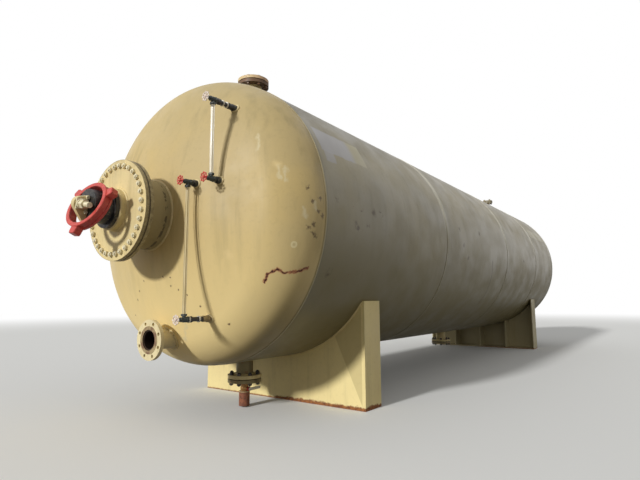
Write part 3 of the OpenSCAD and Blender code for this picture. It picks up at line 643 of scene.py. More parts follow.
nozzleLook = dict(paintLook, fresh="#dcc890", chalk="#d3c08f", grimeAmount=0.35)
outletLook = dict(nozzleLook, fresh="#e2d3a4", chalk="#d9caa0")
saddleLook = dict(paintLook, fresh="#efdc9d", chalk="#e3cf95", grime="#ab9a6a")
# painted shade: a greyer, darker copy of the saddle paint for the rear saddle
shadedRearSaddleLook = dict(saddleLook, fresh="#bbb08a", chalk="#afa582")
greasyShadedLook = dict(paintLook, fresh="#8d8059", chalk="#7b6f50", grime="#4a4130", grimeAmount=0.8)
blindLook = dict(paintLook, fresh="#dcc794", chalk="#d3a98b", grime="#a8855c", grimeAmount=0.45)
# rusty brown, darkened also as painted shade of the flange's underside
rustAndShadeFlangeLook = dict(paintLook, fresh="#755c43", chalk="#684f3a", grime="#4c3829", grimeAmount=0.7)
smallTopLook = dict(paintLook, fresh="#9b9279", chalk="#8d856f", grime="#5d5543")
finishes = {
    "head": makeHeadPaint(),
    "shell": makeShellPaint(),
    # the fittings' enamel is newer and paler, and rust comes through it in spots; painted shade darkens the
    # manway's neck and the outlet's step and bore
    "manway": makeFittingPaint("weatheredShadedEnamelManway", nozzleLook, 40.0, 0.70, dirt=grimeAndShadeOnManway),
    "nozzle": makeFittingPaint("weatheredEnamelNozzle", nozzleLook, 45.0, 0.66),
    "outlet": makeFittingPaint("weatheredShadedEnamelOutlet", outletLook, 45.0, 0.68, dirt=rustAndShadeOnOutlet),
    # grease has darkened this enamel and holds the dust, and painted shade darkens it further on the drain
    # pieces that sit in the vessel's shadow
    "greasyShaded": makeFittingPaint("greasyShadedEnamel", greasyShadedLook, 40.0, 0.6),
    # rust creeps up from the saddles' feet
    "saddle": makeFittingPaint("weatheredEnamelSaddle", saddleLook, 30.0, 0.76, 0.026, endTriangle),
    # painted shade makes the rear saddle greyer and darker
    "shadedRearSaddle": makeFittingPaint("weatheredShadedEnamelRearSaddle", shadedRearSaddleLook, 30.0, 0.76, 0.012),
    # rust has run over these two and tinted their paint, the flange's dark brown is partly painted shade of
    # its underside, and the last has gone grey in the sun
    "topBlind": makeFittingPaint("rustStainedBlind", blindLook, 40.0, 0.6),
    "topFlangeRustAndShade": makeFittingPaint("rustStainedShadedFlange", rustAndShadeFlangeLook, 40.0, 0.6),
    "smallTop": makeFittingPaint("dullEnamelNozzle", smallTopLook, 45.0, 0.62),
    "gaugeBoss": makeBossPaint(),
    # milky plastic, smooth enough for a soft shine
    "tube": makeTubeFinish(),
    # brushed enamels that dust has dulled and that are chipped down to a darker or paler coat
    "black": makePlainFinish("blackEnamel", ("#1d1d1f", "#2c2b2a"), 0.42, 60.0, "#6c5a4a", 0.35),
    "greenBlack": makePlainFinish("castValveEnamel", ("#1f2a27", "#2d3632"), 0.45, 70.0, "#6a5b48", 0.4),
    "red": makePlainFinish("redEnamel", ("#c6463b", "#b43a32"), 0.4, 26.0, "#d07a68", 0.5),
    "wheelRed": makePlainFinish("redWheelEnamel", ("#c8382f", "#b52f2a"), 0.4, 80.0, "#e2b9a8", 0.5),
    "wheelPale": makePlainFinish("bleachedWheelEnamel", ("#e9dfd4", "#dccabc"), 0.5, 80.0, "#b8503f", 0.6),
    "white": makePlainFinish("wornWhiteEnamel", ("#e6e1d2", "#d8d0bb"), 0.45, 60.0, "#8b7a5f", 0.5),
    "bolt": makePlainFinish("paintedNuts", ("#e6ddbd", "#d3c79e"), 0.42, 70.0, "#7b5a3f", 0.35),
    "boltDark": makePlainFinish("blackenedNuts", ("#2a2725", "#3b332c"), 0.5, 70.0, "#6b4632", 0.6),
    # oil has darkened this turned steel and left a soft shine
    "hub": makePlainFinish("oiledSteelHub", ("#232324", "#3a3733"), 0.38, 30.0, "#8b857a", 0.5, metallic=0.4),
    # old rust, rough and without any shine
    "rust": makePlainFinish("rustedSteel", ("#6f4331", "#8c5538"), 0.75, 34.0, "#3f2a21", 0.7),
    # cast brass under dirt, half dull and half metal
    "brass": makePlainFinish("dirtyBrass", ("#9a6f3c", "#b58a52"), 0.45, 50.0, "#4c3322", 0.6, metallic=0.5),
    # pressed fibre sheet, black and matt
    "gasket": makePlainFinish("sheetGasket", ("#191919", "#262524"), 0.8, 60.0),
}
print("materials made")

# which CAD nodes wear each finish
wearers = {
    "head": ["front_head"],
    "shell": ["rear_head"] + [f"shell_course_{k}" for k in range(1, 5)],
    "manway": ["manway_neck", "manway_flange", "manway_blind", "closure_neck"],
    "gasket": ["manway_gasket"],
    "hub": ["closure_hub", "closure_barrel", "closure_end_plate"],
    "red": ["closure_ring"],
    "bolt": ["manway_studs", "closure_bolt", "top_studs"],
    "gaugeBoss": ["gauge_bosses"],
    "black": ["gauge_arms"],
    "greenBlack": ["gauge_valves"],
    "tube": ["gauge_tubes", "gauge_rods"],
    "wheelPale": ["wheel_upper_top", "wheel_lower_bottom"],
    "wheelRed": ["wheel_upper_bottom", "wheel_lower_top"],
    "outlet": ["outlet_neck", "outlet_flange"],
    "nozzle": ["closure_cap", "drain_flange", "rear_drain_neck", "rear_drain_flange", "top_neck"],
    "greasyShaded": ["drain_neck", "drain_blind", "rear_drain_blind"],
    "boltDark": ["drain_studs", "rear_drain_studs"],
    "rust": ["drain_valve", "drain_stub"],
    "white": ["drain_lever"],
    "topFlangeRustAndShade": ["top_flange"],
    "topBlind": ["top_blind"],
    "smallTop": ["small_neck", "small_flange", "small_blind", "small_studs"],
    "saddle": ["front_saddle_web", "front_saddle_ribs", "front_saddle_base"],
    "shadedRearSaddle": ["rear_saddle_web", "rear_saddle_ribs", "rear_saddle_base"],
}
for key, names in wearers.items():
    for name in names:
        nodes[name].data.materials.clear()
        nodes[name].data.materials.append(finishes[key])
print("CAD nodes painted")


# Mesh helpers: everything is drawn in its place, so each object stays at the origin
def at(origin, axis):
    return Matrix.Translation(origin) @ Vector(axis).to_track_quat("Z", "Y").to_matrix().to_4x4()


def lift(place, height):
    return place @ Matrix.Translation((0, 0, height))


def joinRows(bm, rows, ring=False):
    # faces between neighbouring rows of points; a row of one point is a tip
    for low, high in list(zip(rows, rows[1:])) + ([(rows[-1], rows[0])] if ring else []):
        count = max(len(low), len(high))
        for k in range(count if count > 1 else 0):
            n = (k + 1) % count
            corners = [low[k % len(low)], low[n % len(low)], high[n % len(high)], high[k % len(high)]]
            bm.faces.new(list(dict.fromkeys(corners)))


def addLathe(bm, place, profile, sides=32, ring=False):
    # profile is a list of (height, radius) along the axis of place; unless it is a ring, both ends are closed
    tips = [] if ring else [(profile[0][0], 0), (profile[-1][0], 0)]
    rows = []
    for height, radius in tips[:1] + profile + tips[1:]:
        angles = [math.tau * k / sides for k in range(sides)] if radius else [0]
        spots = [Vector((radius * math.cos(a), radius * math.sin(a), height)) for a in angles]
        rows.append([bm.verts.new(place @ spot) for spot in spots])
    joinRows(bm, rows, ring)


def addHex(bm, place, across, height, chamfer=0.08):
    # nut or hexagon head with its corners taken off at both ends
    corner = across / math.sqrt(3)
    small = corner * (1 - chamfer)
    edge = corner * chamfer * 0.6
    addLathe(bm, place, [(0, small), (edge, corner), (height - edge, corner), (height, small)], 6)


def addStud(bm, place, diameter, low, high, pitch=0.002, threads=3):
    # threads are cut at both ends, where they show
    radius = diameter / 2
    root = radius - 0.0008
    end = [(low, root - 0.001)]
    end += [(low + pitch * (k + 0.5) / 2, root if k % 2 else radius) for k in range(2 * threads)]
    addLathe(bm, place, end + [(low + high - z, r) for z, r in reversed(end)], 16)


def addPlate(bm, place, corners, thickness, edge):
    # flat plate with its outline in the plane of place; edge takes off the upper and lower rims
    middle = sum((Vector((x, y, 0)) for x, y in corners), Vector()) / len(corners)
    rows = []
    for height, inset in ((0, edge), (edge, 0), (thickness - edge, 0), (thickness, edge)):
        row = []
        for x, y in corners:
            spot = Vector((x, y, 0))
            spot += (middle - spot).normalized() * inset
            row.append(bm.verts.new(place @ Vector((spot.x, spot.y, height))))
        rows.append(row)
    bm.faces.new(rows[0][::-1])
    bm.faces.new(rows[-1])
    joinRows(bm, rows)


def makeMesh(bm, name, limit):
    # faces turn outwards, and an edge sharper than the limit stays sharp
    bmesh.ops.recalc_face_normals(bm, faces=bm.faces)
    for face in bm.faces:
        face.smooth = True
    for edge in bm.edges:
        edge.smooth = len(edge.link_faces) != 2 or edge.calc_face_angle(0) < math.radians(limit)
    mesh = bpy.data.meshes.new(name)
    bm.to_mesh(mesh)
    bm.free()
    return mesh


def finishPiece(bm, name, finish, body, replaced=(), limit=35):
    piece = addObject(name, makeMesh(bm, name, limit))
    piece.data.materials.append(finishes[finish])
    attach(piece, body)
    if replaced:
        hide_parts(*replaced)


# Geometry Nodes
def startTree(name, inputs):
    tree = bpy.data.node_groups.new(name, "GeometryNodeTree")
    for way in ("INPUT", "OUTPUT"):
        tree.interface.new_socket("Geometry", in_out=way, socket_type="NodeSocketGeometry")
    for label, kind in inputs.items():
        tree.interface.new_socket(label, in_out="INPUT", socket_type="NodeSocket" + kind)
    return tree, put(tree, "NodeGroupInput", out=None)


def endTree(tree, geometry, material):
    real = put(tree, "GeometryNodeRealizeInstances", {"Geometry": geometry})
    dressed = put(tree, "GeometryNodeSetMaterial", {"Geometry": real, "Material": material})
    put(tree, "NodeGroupOutput", {0: dressed}, out=None)


def buildBoltTree():
    # hardware repeated round a bolt circle, each turned by chance
    tree, given = startTree("boltCircle", {"Count": "Int", "Circle Radius": "Float", "First Angle": "Float",
                                           "Hardware": "Object", "Seed": "Int", "Material": "Material"})
    ring = {"Vertices": given["Count"], "Radius": given["Circle Radius"]}
    circle = put(tree, "GeometryNodeMeshCircle", ring)
    spread = {2: 0.0, 3: math.pi / 3, "Seed": given["Seed"]}
    turn = put(tree, "ShaderNodeCombineXYZ", {2: put(tree, "FunctionNodeRandomValue", spread, out=1)})
    source = {"Object": given["Hardware"], "As Instance": True}
    hardware = put(tree, "GeometryNodeObjectInfo", source, out="Geometry")
    placing = {"Points": circle, "Instance": hardware, "Rotation": turn}
    copies = put(tree, "GeometryNodeInstanceOnPoints", placing)
    first = put(tree, "ShaderNodeCombineXYZ", {2: given["First Angle"]})
    placed = put(tree, "GeometryNodeTransform", {"Geometry": copies, "Rotation": first})
    endTree(tree, placed, given["Material"])
    return tree


def buildBeadTree():
    # weld bead with even ripples along a path
    tree, given = startTree("weldBead", {"Bead Radius": "Float", "Ripple Length": "Float",
                                         "Ripple Depth": "Float", "Unevenness": "Float",
                                         "Material": "Material"})
    line = put(tree, "GeometryNodeMeshToCurve", {"Mesh": given["Geometry"]})
    cut = {"Curve": line, "Length": put(tree, "times", given["Ripple Length"], 0.5)}
    path = put(tree, "GeometryNodeResampleCurve", cut, mode="LENGTH")
    odd = put(tree, "rest", put(tree, "GeometryNodeInputIndex"), 2.0)
    ripple = put(tree, "times", odd, given["Ripple Depth"])
    spots = {"Vector": put(tree, "GeometryNodeInputPosition"), "Scale": 14.0, "Detail": 2.0}
    uneven = put(tree, "minus", put(tree, "ShaderNodeTexNoise", spots, out="Fac"), 0.5)
    uneven = put(tree, "times", uneven, given["Unevenness"])
    size = put(tree, "plus", put(tree, "minus", 1.0, ripple), uneven)
    circle = {"Resolution": 8, "Radius": given["Bead Radius"]}
    section = put(tree, "GeometryNodeCurvePrimitiveCircle", circle)
    sweep = {"Curve": path, "Profile Curve": section, "Scale": size, "Fill Caps": True}
    bead = put(tree, "GeometryNodeCurveToMesh", sweep)
    endTree(tree, put(tree, "GeometryNodeSetShadeSmooth", {"Geometry": bead}), given["Material"])
    return tree


def runTree(tree, host, values):
    # gives the tree its values by socket identifier, and returns the plain mesh that it makes
    modifier = host.modifiers.new("make", "NODES")
    modifier.node_group = tree
    for item in tree.interface.items_tree:
        if item.in_out == "INPUT" and item.name in values:
            modifier[item.identifier] = values[item.name]
    host.update_tag()
    bpy.context.view_layer.update()
    graph = bpy.context.evaluated_depsgraph_get()
    mesh = bpy.data.meshes.new_from_object(host.evaluated_get(graph), depsgraph=graph)
    host.modifiers.remove(modifier)
    return mesh


boltTree = buildBoltTree()
beadTree = buildBeadTree()
print("geometry node trees made")


# Bolted joints
studs = {
    "diameter": 0.016,
    "past": 0.005,           # thread that shows past each nut
    "nutHeight": 0.014,
    "thinNut": 0.006,        # the nuts on the top blind hardly show
    "manwayGrip": 0.047,
    "smallGrip": 0.04,
}
usualJoint = {
    "count": 8,
    "circle": 0.09525,       # radius of the bolt circle
    "grip": 0.05,            # two 24 mm flanges and a 2 mm gasket
    "across": 0.0245,        # of a nut
    "farNut": studs["nutHeight"],
}
joints = [
    dict(usualJoint, name="manway", count=32, circle=0.2445, grip=studs["manwayGrip"], across=0.026,
         finish="bolt", slot="bolts", seed=3),
    dict(usualJoint, name="drain", finish="boltDark", slot="dark_steel", seed=5),
    dict(usualJoint, name="rear_drain", finish="boltDark", slot="dark_steel", seed=7),
    dict(usualJoint, name="top", farNut=studs["thinNut"], finish="topFlangeRustAndShade", slot="bolts", seed=9),
    dict(usualJoint, name="small", count=4, circle=0.0605, grip=studs["smallGrip"], finish="smallTop",
         slot="bolts", seed=11),
]


def jointPlace(name):
    # where a joint's bolt circle starts, looking the way the joint is closed
    if name == "manway":
        return at((vessel["manwayBlindX"], 0, vessel["manwayZ"]), (1, 0, 0))
    nozzle = nozzles[name]
    return at((nozzle["x"], 0, nozzle["joint"]), (0, 0, nozzle["up"]))


def makeHardware(joint):
    # a stud with a nut at each end
    bm = bmesh.new()
    nut, far, past, grip = studs["nutHeight"], joint["farNut"], studs["past"], joint["grip"]
    addHex(bm, Matrix.Translation((0, 0, -nut)), joint["across"], nut)
    addHex(bm, Matrix.Translation((0, 0, grip)), joint["across"], far)
    addStud(bm, Matrix.Identity(4), studs["diameter"], -nut - past, grip + far + past * far / nut)
    return addObject("hardware", makeMesh(bm, "hardware", 25))


def makeJoint(joint):
    name = joint["name"] + "_hardware"
    hardware = makeHardware(joint)
    host = addObject(name + "Host", bpy.data.meshes.new(name + "Host"))
    values = {"Count": joint["count"], "Circle Radius": joint["circle"], "Hardware": hardware,
              "First Angle": math.pi / joint["count"], "Seed": joint["seed"],
              "Material": finishes[joint["finish"]]}
    mesh = runTree(boltTree, host, values)
    mesh.transform(jointPlace(joint["name"]))
    for used in (host, hardware):
        bpy.data.objects.remove(used)
    piece = addObject(name, mesh)
    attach(piece, "vessel")
    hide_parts(joint["name"] + "_studs")


for joint in joints:
    makeJoint(joint)
print("bolted joints made")


# Closure at the front: a lugged ring hangs loose on a barrel, and an eye plate with a bolt stands on its end
closure = {
    "neckFront": cadPlace("closure_neck", "X", 0),
    "roll": 19,              # degrees about the closure's axis, towards the gauge side
    "tilt": 25,
    "ringX": -1.5757,
    "ringZ": -0.00264,
    "ringInner": 0.112,
    "ringOuter": 0.135,
    "ringHalf": 0.025,
    "grooveHalf": 0.012,
    "grooveRadius": 0.13,
    "threadDepth": 0.0012,
    "turns": 19,             # rows of the thread inside the ring
    "lugAngles": (44, 164, 284),
    "lugFoot": 0.123,        # from the ring's axis
    "lugTip": 0.171,
    "lugHalf": 0.0225,
    "lugBevel": 0.005,
    "lugDepth": 0.042,
    "plateRoll": 12,
    "plateX": -1.6277,
    "plateZ": 0.004,
    "plateRadius": 0.038,
    "plateHigh": (0.038, 0.048),
    "plateLow": (0.019, -0.089),
    "plateHalf": 0.015,
    "padHalf": 0.028,        # square pad under the bolt's washer
    "padHeight": 0.008,
    "bolt": 0.03,
    "boltLow": -0.02,
    "boltHigh": 0.104,
    "boltNut": 0.0433,
    "screw": 0.0173,         # across the two small screw heads
}


def turned(degrees, axis):
    return Matrix.Rotation(math.radians(degrees), 4, axis)


def ringMatrix():
    # X along the ring's axis, zero at its middle
    base = Matrix.Translation((0, 0, vessel["manwayZ"])) @ turned(closure["roll"], "X")
    return base @ Matrix.Translation((closure["ringX"], 0, closure["ringZ"])) @ turned(closure["tilt"], "Y")


def makeRing():
    bm = bmesh.new()
    place = ringMatrix()
    inner, outer, half, soft = closure["ringInner"], closure["ringOuter"], closure["ringHalf"], 0.0025
    groove, floor = closure["grooveHalf"], closure["grooveRadius"]
    profile = [(-half, inner + soft), (-half, outer - soft), (soft - half, outer), (-groove - 0.001, outer),
               (-groove, outer - 0.001), (0.001 - groove, floor), (groove - 0.001, floor),
               (groove, outer - 0.001), (groove + 0.001, outer), (half - soft, outer), (half, outer - soft),
               (half, inner + soft)]
    for k in range(closure["turns"]):
        height = (half - soft) * (1 - 2 * k / (closure["turns"] - 1))
        profile.append((height, inner + (closure["threadDepth"] if k % 2 else 0)))
    addLathe(bm, place @ at((0, 0, 0), (1, 0, 0)), profile, 96, ring=True)
    foot, tip, side, bevel = closure["lugFoot"], closure["lugTip"], closure["lugHalf"], closure["lugBevel"]
    corners = [(-side, foot), (side, foot), (side, tip - 2 * bevel), (side - bevel, tip), (bevel - side, tip),
               (-side, tip - 2 * bevel)]
    depth = closure["lugDepth"]
    basis = Matrix(((0, 0, 1, 0), (1, 0, 0, 0), (0, 1, 0, 0), (0, 0, 0, 1)))
    for angle in closure["lugAngles"]:
        addPlate(bm, lift(place @ turned(angle, "X") @ basis, -depth / 2), corners, depth, 0.003)
    finishPiece(bm, "closure_ring_fine", "red", "closure_nut", ["closure_ring"], 30)


def touchAngle(point, radius, side):
    # angle at which a line from a point touches a circle around zero
    return math.atan2(point[1], point[0]) + side * math.acos(radius / math.hypot(*point))


def platePlace():
    base = Matrix.Translation((0, 0, vessel["manwayZ"])) @ turned(closure["plateRoll"], "X")
    return base @ Matrix.Translation((closure["plateX"], 0, closure["plateZ"])) @ turned(90, "X")


def makeLugPlate():
    # a round eye that runs out to a foot on the barrel's end
    radius, half = closure["plateRadius"], closure["plateHalf"]
    high, low = closure["plateHigh"], closure["plateLow"]
    first, last = touchAngle(high, radius, 1), touchAngle(low, radius, -1) + math.tau
    corners = [low, (high[0], low[1]), high]
    steps = 20
    for k in range(steps + 1):
        a = first + (last - first) * k / steps
        corners.append((radius * math.cos(a), radius * math.sin(a)))
    bm = bmesh.new()
    addPlate(bm, lift(platePlace(), -half), corners, 2 * half, 0.002)
    finishPiece(bm, "closure_lug_plate", "nozzle", "vessel", ["closure_cap"], 30)


def makeLugBolt():
    bm = bmesh.new()
    place = platePlace()
    side, half, across = closure["padHalf"], closure["plateHalf"], closure["boltNut"]
    square = [(-side, -side), (side, -side), (side, side), (-side, side)]
    addPlate(bm, lift(place, half), square, closure["padHeight"], 0.001)
    addLathe(bm, place, [(0.022, 0.0265), (0.0235, 0.027), (0.0285, 0.027), (0.03, 0.0255)], 40)
    addHex(bm, lift(place, 0.03), across, 0.03)
    addHex(bm, lift(place, -0.033), across, 0.018)
    addStud(bm, place, closure["bolt"], closure["boltLow"], closure["boltHigh"], 0.0035, 12)
    for height in (0.037, -0.04):
        addHex(bm, place @ Matrix.Translation((0.026, height, half)), closure["screw"], 0.012)
    finishPiece(bm, "closure_bolt_set", "bolt", "vessel", ["closure_bolt"], 25)


makeRing()
makeLugPlate()
makeLugBolt()
print("closure made")


# Valve under the front bottom nozzle
drain = {
    "top": cadPlace("drain_blind", "Z", 0),
    "neckHex": 0.046,
    "neckLift": 0.012,
    "bodyTop": 0.1385,
    "bodyBottom": 0.1045,
    "bodyHex": 0.0485,
    "pinZ": 0.1215,
    "stubInner": 0.0355,
    "stubOuter": 0.0373,
}


def makeDrainValve():
    bm = bmesh.new()
    x = nozzles["drain"]["x"]
    column = Matrix.Translation((x, 0, 0))
    pin = at((x, 0, drain["pinZ"]), (0, -1, 0))
    high, low, neck = drain["bodyTop"], drain["bodyBottom"], drain["neckLift"]
    addHex(bm, lift(column, high + neck), drain["neckHex"], drain["top"] - high - neck)
    body = [(low + 0.006, 0.0245), (low + 0.012, 0.0278), (high - 0.006, 0.0278), (high, 0.0245),
            (high + 0.013, 0.0235)]
    addLathe(bm, column, body, 40)
    addHex(bm, lift(column, low), drain["bodyHex"], 0.01)
    addLathe(bm, pin, [(0.02, 0.013), (0.034, 0.011), (0.034, 0.0078), (0.054, 0.0078)])
    finishPiece(bm, "drain_valve_fine", "brass", "vessel", ["drain_valve"], 30)
    bm = bmesh.new()
    addHex(bm, lift(pin, 0.036), 0.026, 0.011)
    finishPiece(bm, "drain_packing_nut", "wheelRed", "vessel", limit=25)
    bm = bmesh.new()
    inner, outer = drain["stubInner"], drain["stubOuter"]
    rim = [(low - 0.005, inner), (low - 0.005, outer), (low - 0.001, outer), (low - 0.001, inner)]
    addLathe(bm, column, rim, 48, ring=True)
    finishPiece(bm, "drain_stub_ring", "nozzle", "vessel")


makeDrainValve()
print("drain valve made")


# Weld beads
weld = {
    "seamRadius": 0.0085,    # a flat cap, sunk into the plate
    "seamSink": 0.0072,
    "seamAngles": (-130, -130, -20, 125),    # of each course's long seam, up from level
    "seamInset": 0.01,       # from the seams around the vessel
    "filletRadius": 0.008,
    "rippleLength": 0.014,
    "rippleDepth": 0.06,
    "unevenness": 0.1,
    "neckRadius": 0.203,     # beads at the manway's neck, the closure's neck and a gauge boss
    "closureRadius": 0.116,
    "closureFront": 0.108,
    "bossRadius": 0.019,
    "saddleX": (cadPlace("front_saddle_web", "X", 0), cadPlace("rear_saddle_web", "X", 1)),
    "saddleHalf": 0.745,
}


def roundPath(count, spot):
    return [spot(math.tau * k / count) for k in range(count)], True


def ringAlongX(x, z, radius):
    return roundPath(64, lambda a: (x, radius * math.cos(a), z + radius * math.sin(a)))


def ringAlongZ(x, z, radius):
    return roundPath(48, lambda a: (x + radius * math.cos(a), radius * math.sin(a), z))


def headRing(y, z, radius, count=72):
    def spot(a):
        sy, sz = y + radius * math.cos(a), z + radius * math.sin(a)
        return (headX(sy, sz), sy, sz)
    return roundPath(count, spot)


def shellRing(x, radius, up):
    def spot(a):
        y = radius * math.sin(a)
        return (x + radius * math.cos(a), y, vessel["axisZ"] + up * math.sqrt(vessel["radius"] ** 2 - y * y))
    return roundPath(60, spot)


def longSeam(x0, x1, angle):
    radius = vessel["radius"] - weld["seamSink"]
    a = math.radians(angle)
    y, z = radius * math.cos(a), vessel["axisZ"] + radius * math.sin(a)
    return [(x0, y, z), (x1, y, z)], False


def saddleArc(x, half):
    radius = vessel["radius"]
    reach = math.asin(half / radius)
    steps = 80
    angles = [-reach + 2 * reach * k / steps for k in range(steps + 1)]
    return [(x, radius * math.sin(a), vessel["axisZ"] - radius * math.cos(a)) for a in angles], False


def filletPaths():
    z, outletZ, outlet = vessel["manwayZ"], vessel["outletZ"], vessel["outletRadius"]
    paths = [headRing(0, z, weld["neckRadius"]), ringAlongX(vessel["manwayFlangeX"], z, weld["neckRadius"]),
             ringAlongX(vessel["manwayBlindX"], z, weld["closureRadius"]), headRing(0, outletZ, outlet),
             ringAlongX(vessel["outletFlangeX"], outletZ, outlet),
             ringAlongX(closure["neckFront"], z, weld["closureFront"])]
    for column in columns:
        paths += [headRing(column["y"], column[end], weld["bossRadius"], 32) for end in ("top", "bottom")]
    for nozzle in nozzles.values():
        paths += [shellRing(nozzle["x"], nozzle["radius"], nozzle["up"]),
                  ringAlongZ(nozzle["x"], nozzle["joint"], nozzle["radius"])]
    return paths + [saddleArc(x, weld["saddleHalf"]) for x in weld["saddleX"]]


def makeBeads(name, paths, radius, finish):
    points, edges = [], []
    for path, closed in paths:
        first = len(points)
        points += path
        edges += [(first + k, first + k + 1) for k in range(len(path) - 1)]
        if closed:
            edges.append((len(points) - 1, first))
    lines = bpy.data.meshes.new("weldPaths")
    lines.from_pydata(points, edges, [])
    host = addObject("weldPaths", lines)
    values = {"Bead Radius": radius, "Ripple Length": weld["rippleLength"],
              "Ripple Depth": weld["rippleDepth"], "Unevenness": weld["unevenness"],
              "Material": finishes[finish]}
    bm = bmesh.new()
    bm.from_mesh(runTree(beadTree, host, values))
    bpy.data.objects.remove(host)
    finishPiece(bm, name, finish, "vessel", limit=60)


def longSeams():
    spans = zip(seamPlaces, seamPlaces[1:], weld["seamAngles"])
    return [longSeam(a + weld["seamInset"], b - weld["seamInset"], angle) for a, b, angle in spans]


makeBeads("long_seam_beads", longSeams(), weld["seamRadius"], "shell")
makeBeads("fillet_beads", filletPaths(), weld["filletRadius"], "nozzle")
print("weld beads made")


# Level gauges: pipe arms with couplings and union rings, valves and handwheels
def addArm(bm, light, tail, column, height, shares):
    # black pipe with couplings, and pale union rings at parts of its length where it is long
    x0 = column["x"] + gauge["bodyHalf"]
    length = headX(column["y"], height) - gauge["bossOut"] - x0
    place = at((x0, column["y"], height), (1, 0, 0))
    r = gauge["armRadius"]
    if length < gauge["plainArm"]:
        addLathe(bm, place, [(0, r), (length, r)])
        return
    addLathe(bm, place, [(0, r), (0.008, r), (0.01, r * 1.25), (0.026, r * 1.25), (0.028, r * 0.9),
                         (length - 0.029, r * 0.9)])
    addLathe(tail, place, [(length - 0.03, r * 1.1), (length - 0.028, r * 1.25), (length - 0.002, r * 1.25),
                           (length, r)])
    for share in shares:
        z = length * share
        rim = [(z, r * 0.88), (z, r * 1.28), (z + 0.006, r * 1.28), (z + 0.006, r * 0.88)]
        addLathe(light, place, rim, ring=True)


def addValve(bm, column, height, up):
    # hexagons at both ends of a rounded body, the packing in front and the tube's nut above or below
    spot = (column["x"], column["y"], height)
    place, stem = at(spot, (-1, 0, 0)), at(spot, (0, 0, up))
    half, gap = gauge["bodyHalf"], gauge["tubeGap"]
    addHex(bm, lift(place, -half), gauge["unionHex"], 0.012)
    addLathe(bm, place, [(0.011 - half, 0.012), (-0.008, 0.0145), (0.004, 0.0145), (half - 0.011, 0.011)])
    addHex(bm, lift(place, half - 0.012), gauge["bonnetHex"], 0.012)
    addLathe(bm, place, [(half - 0.001, 0.0095), (half + 0.013, 0.0085), (half + 0.0155, 0.0065)], 24)
    addLathe(bm, stem, [(0, 0.011), (gap - 0.011, 0.009)], 24)
    addHex(bm, lift(stem, gap - 0.012), gauge["unionHex"], 0.0118)


def addRim(bm, place):
    # a handwheel's rim, thicker and further out at each lobe
    around, across = 64, 8
    rows = []
    for k in range(around):
        a = math.tau * k / around
        lobe = math.cos(gauge["lobes"] * a)
        middle = (gauge["wheelRadius"] - gauge["rimRadius"]) * (0.93 + 0.07 * lobe)
        thick = gauge["rimRadius"] * (0.82 + 0.18 * lobe)
        row = []
        for j in range(across):
            b = math.tau * j / across
            r = middle + thick * math.cos(b)
            row.append(bm.verts.new(place @ Vector((r * math.cos(a), r * math.sin(a), thick * math.sin(b)))))
        rows.append(row)
    joinRows(bm, rows, ring=True)


def addWheel(bm, column, height):
    # lobed rim, spokes, hub, nut and stem
    out = gauge["wheelOut"]
    place = at((column["x"] - out, column["y"], height), (-1, 0, 0))
    addRim(bm, place)
    spoke = [(0.005, -0.0018), (0.0235, -0.0026), (0.0235, 0.0026), (0.005, 0.0018)]
    for k in range(gauge["lobes"]):
        turn = place @ Matrix.Rotation(math.tau * k / gauge["lobes"], 4, "Z")
        addPlate(bm, lift(turn, -0.0016), spoke, 0.0032, 0.0005)
    addLathe(bm, place, [(-0.005, 0.006), (0.004, 0.007), (0.0055, 0.005)], 24)
    addHex(bm, lift(place, 0.0054), 0.0085, 0.0016)
    foot, stem = -out + gauge["bodyHalf"] + 0.005, 0.0042
    addLathe(bm, place, [(foot, stem), (-0.004, stem)], 24)


def makeGauges():
    arms, rings, valves, coupling = bmesh.new(), bmesh.new(), bmesh.new(), bmesh.new()
    for column in columns:
        for end, up in (("top", -1), ("bottom", 1)):
            low = column["name"] == "lower" and end == "bottom"
            shares = gauge["lowRings"] if low else gauge["rings"]
            addArm(arms, rings, coupling if low else arms, column, column[end], shares)
            addValve(valves, column, column[end], up)
            wheel = bmesh.new()
            addWheel(wheel, column, column[end])
            name = f"{column['name']}_{end}_wheel"
            pale = name in gauge["paleWheels"]
            finishPiece(wheel, name + "_fine", "wheelPale" if pale else "wheelRed", name,
                        [f"wheel_{column['name']}_{end}"])
    finishPiece(arms, "gauge_pipe_arms", "black", "vessel", ["gauge_arms"])
    finishPiece(coupling, "gauge_lower_coupling", "gaugeBoss", "vessel")
    finishPiece(rings, "gauge_union_rings", "white", "vessel")
    finishPiece(valves, "gauge_cocks", "greenBlack", "vessel", ["gauge_valves"])


makeGauges()
print("gauges made")


# Floor, backdrop and lamps
light = {
    "sunFrom": (-0.935, 0.07, 0.36),
    "sunStrength": 2.8,
    "sunSpread": 5.0,        # degrees, for soft shadow edges
    "sky": 0.44,
    "floorMiddle": (2.2, 0, 0),
    "floorRadius": 60,
    "floorTone": "#e9e9e6",
    "groundTone": "#77726a",  # what the floor throws back on the vessel
    "fadeStart": 9.0,        # metres from the vessel's middle
    "fadeEnd": 22.0,
}
white = (1.0, 1.0, 1.0, 1.0)


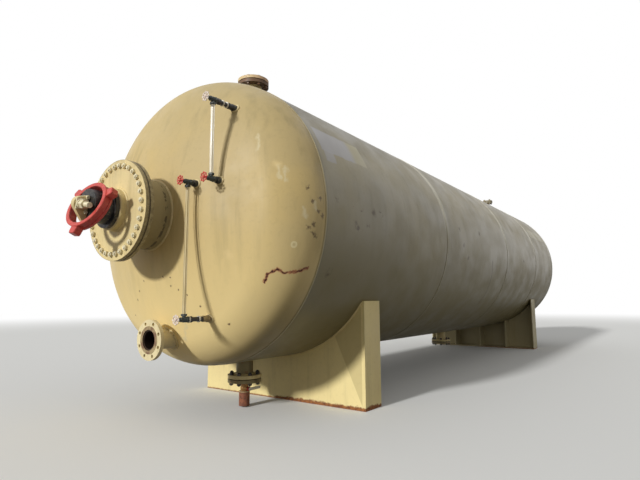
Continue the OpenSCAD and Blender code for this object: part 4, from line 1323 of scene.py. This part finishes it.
def isSeen(tree):
    # one where the ray comes from the camera or goes through glass or off metal
    path = put(tree, "ShaderNodeLightPath", out=None)
    mirrored = put(tree, "most", path["Is Glossy Ray"], path["Is Transmission Ray"])
    return put(tree, "most", path["Is Camera Ray"], mirrored)


def makeBackdrop():
    world = bpy.data.worlds.new("studio")
    scene.world = world
    world.use_nodes = True
    tree = world.node_tree
    tree.nodes.clear()
    soft = put(tree, "ShaderNodeBackground", {"Color": white, "Strength": light["sky"]})
    clean = put(tree, "ShaderNodeBackground", {"Color": white, "Strength": 1.0})
    both = put(tree, "ShaderNodeMixShader", {0: isSeen(tree), 1: soft, 2: clean})
    put(tree, "ShaderNodeOutputWorld", {"Surface": both}, out=None)


def makeSun():
    sun = addObject("keyLamp", bpy.data.lights.new("keyLamp", "SUN"))
    sun.data.energy = light["sunStrength"]
    sun.data.angle = math.radians(light["sunSpread"])
    sun.rotation_mode = "QUATERNION"
    sun.rotation_quaternion = Vector(light["sunFrom"]).to_track_quat("Z", "Y")


def makeFloorPaint():
    # pale where it is seen and darker to the vessel; it fades into the white backdrop
    made, tree, coords = startMaterial("paleFloor")
    gap = put(tree, "gap", coords, light["floorMiddle"])
    fade = put(tree, "ramp", gap, light["fadeStart"], light["fadeEnd"])
    tone = layer(tree, light["groundTone"], light["floorTone"], isSeen(tree))
    matt = put(tree, "ShaderNodeBsdfDiffuse", {"Color": tone})
    glow = put(tree, "ShaderNodeEmission", {"Color": white, "Strength": 1.0})
    mixed = {0: product(tree, fade, isSeen(tree)), 1: matt, 2: glow}
    put(tree, "ShaderNodeOutputMaterial", {"Surface": put(tree, "ShaderNodeMixShader", mixed)}, out=None)
    return made


def makeFloor():
    bm = bmesh.new()
    bmesh.ops.create_circle(bm, cap_ends=True, segments=96, radius=light["floorRadius"])
    bmesh.ops.translate(bm, verts=bm.verts, vec=light["floorMiddle"])
    mesh = bpy.data.meshes.new("floor")
    bm.to_mesh(mesh)
    bm.free()
    mesh.materials.append(makeFloorPaint())
    addObject("floor", mesh)


makeBackdrop()
makeSun()
makeFloor()
print("stage and lamps made")

scene.view_settings.view_transform = "Standard"
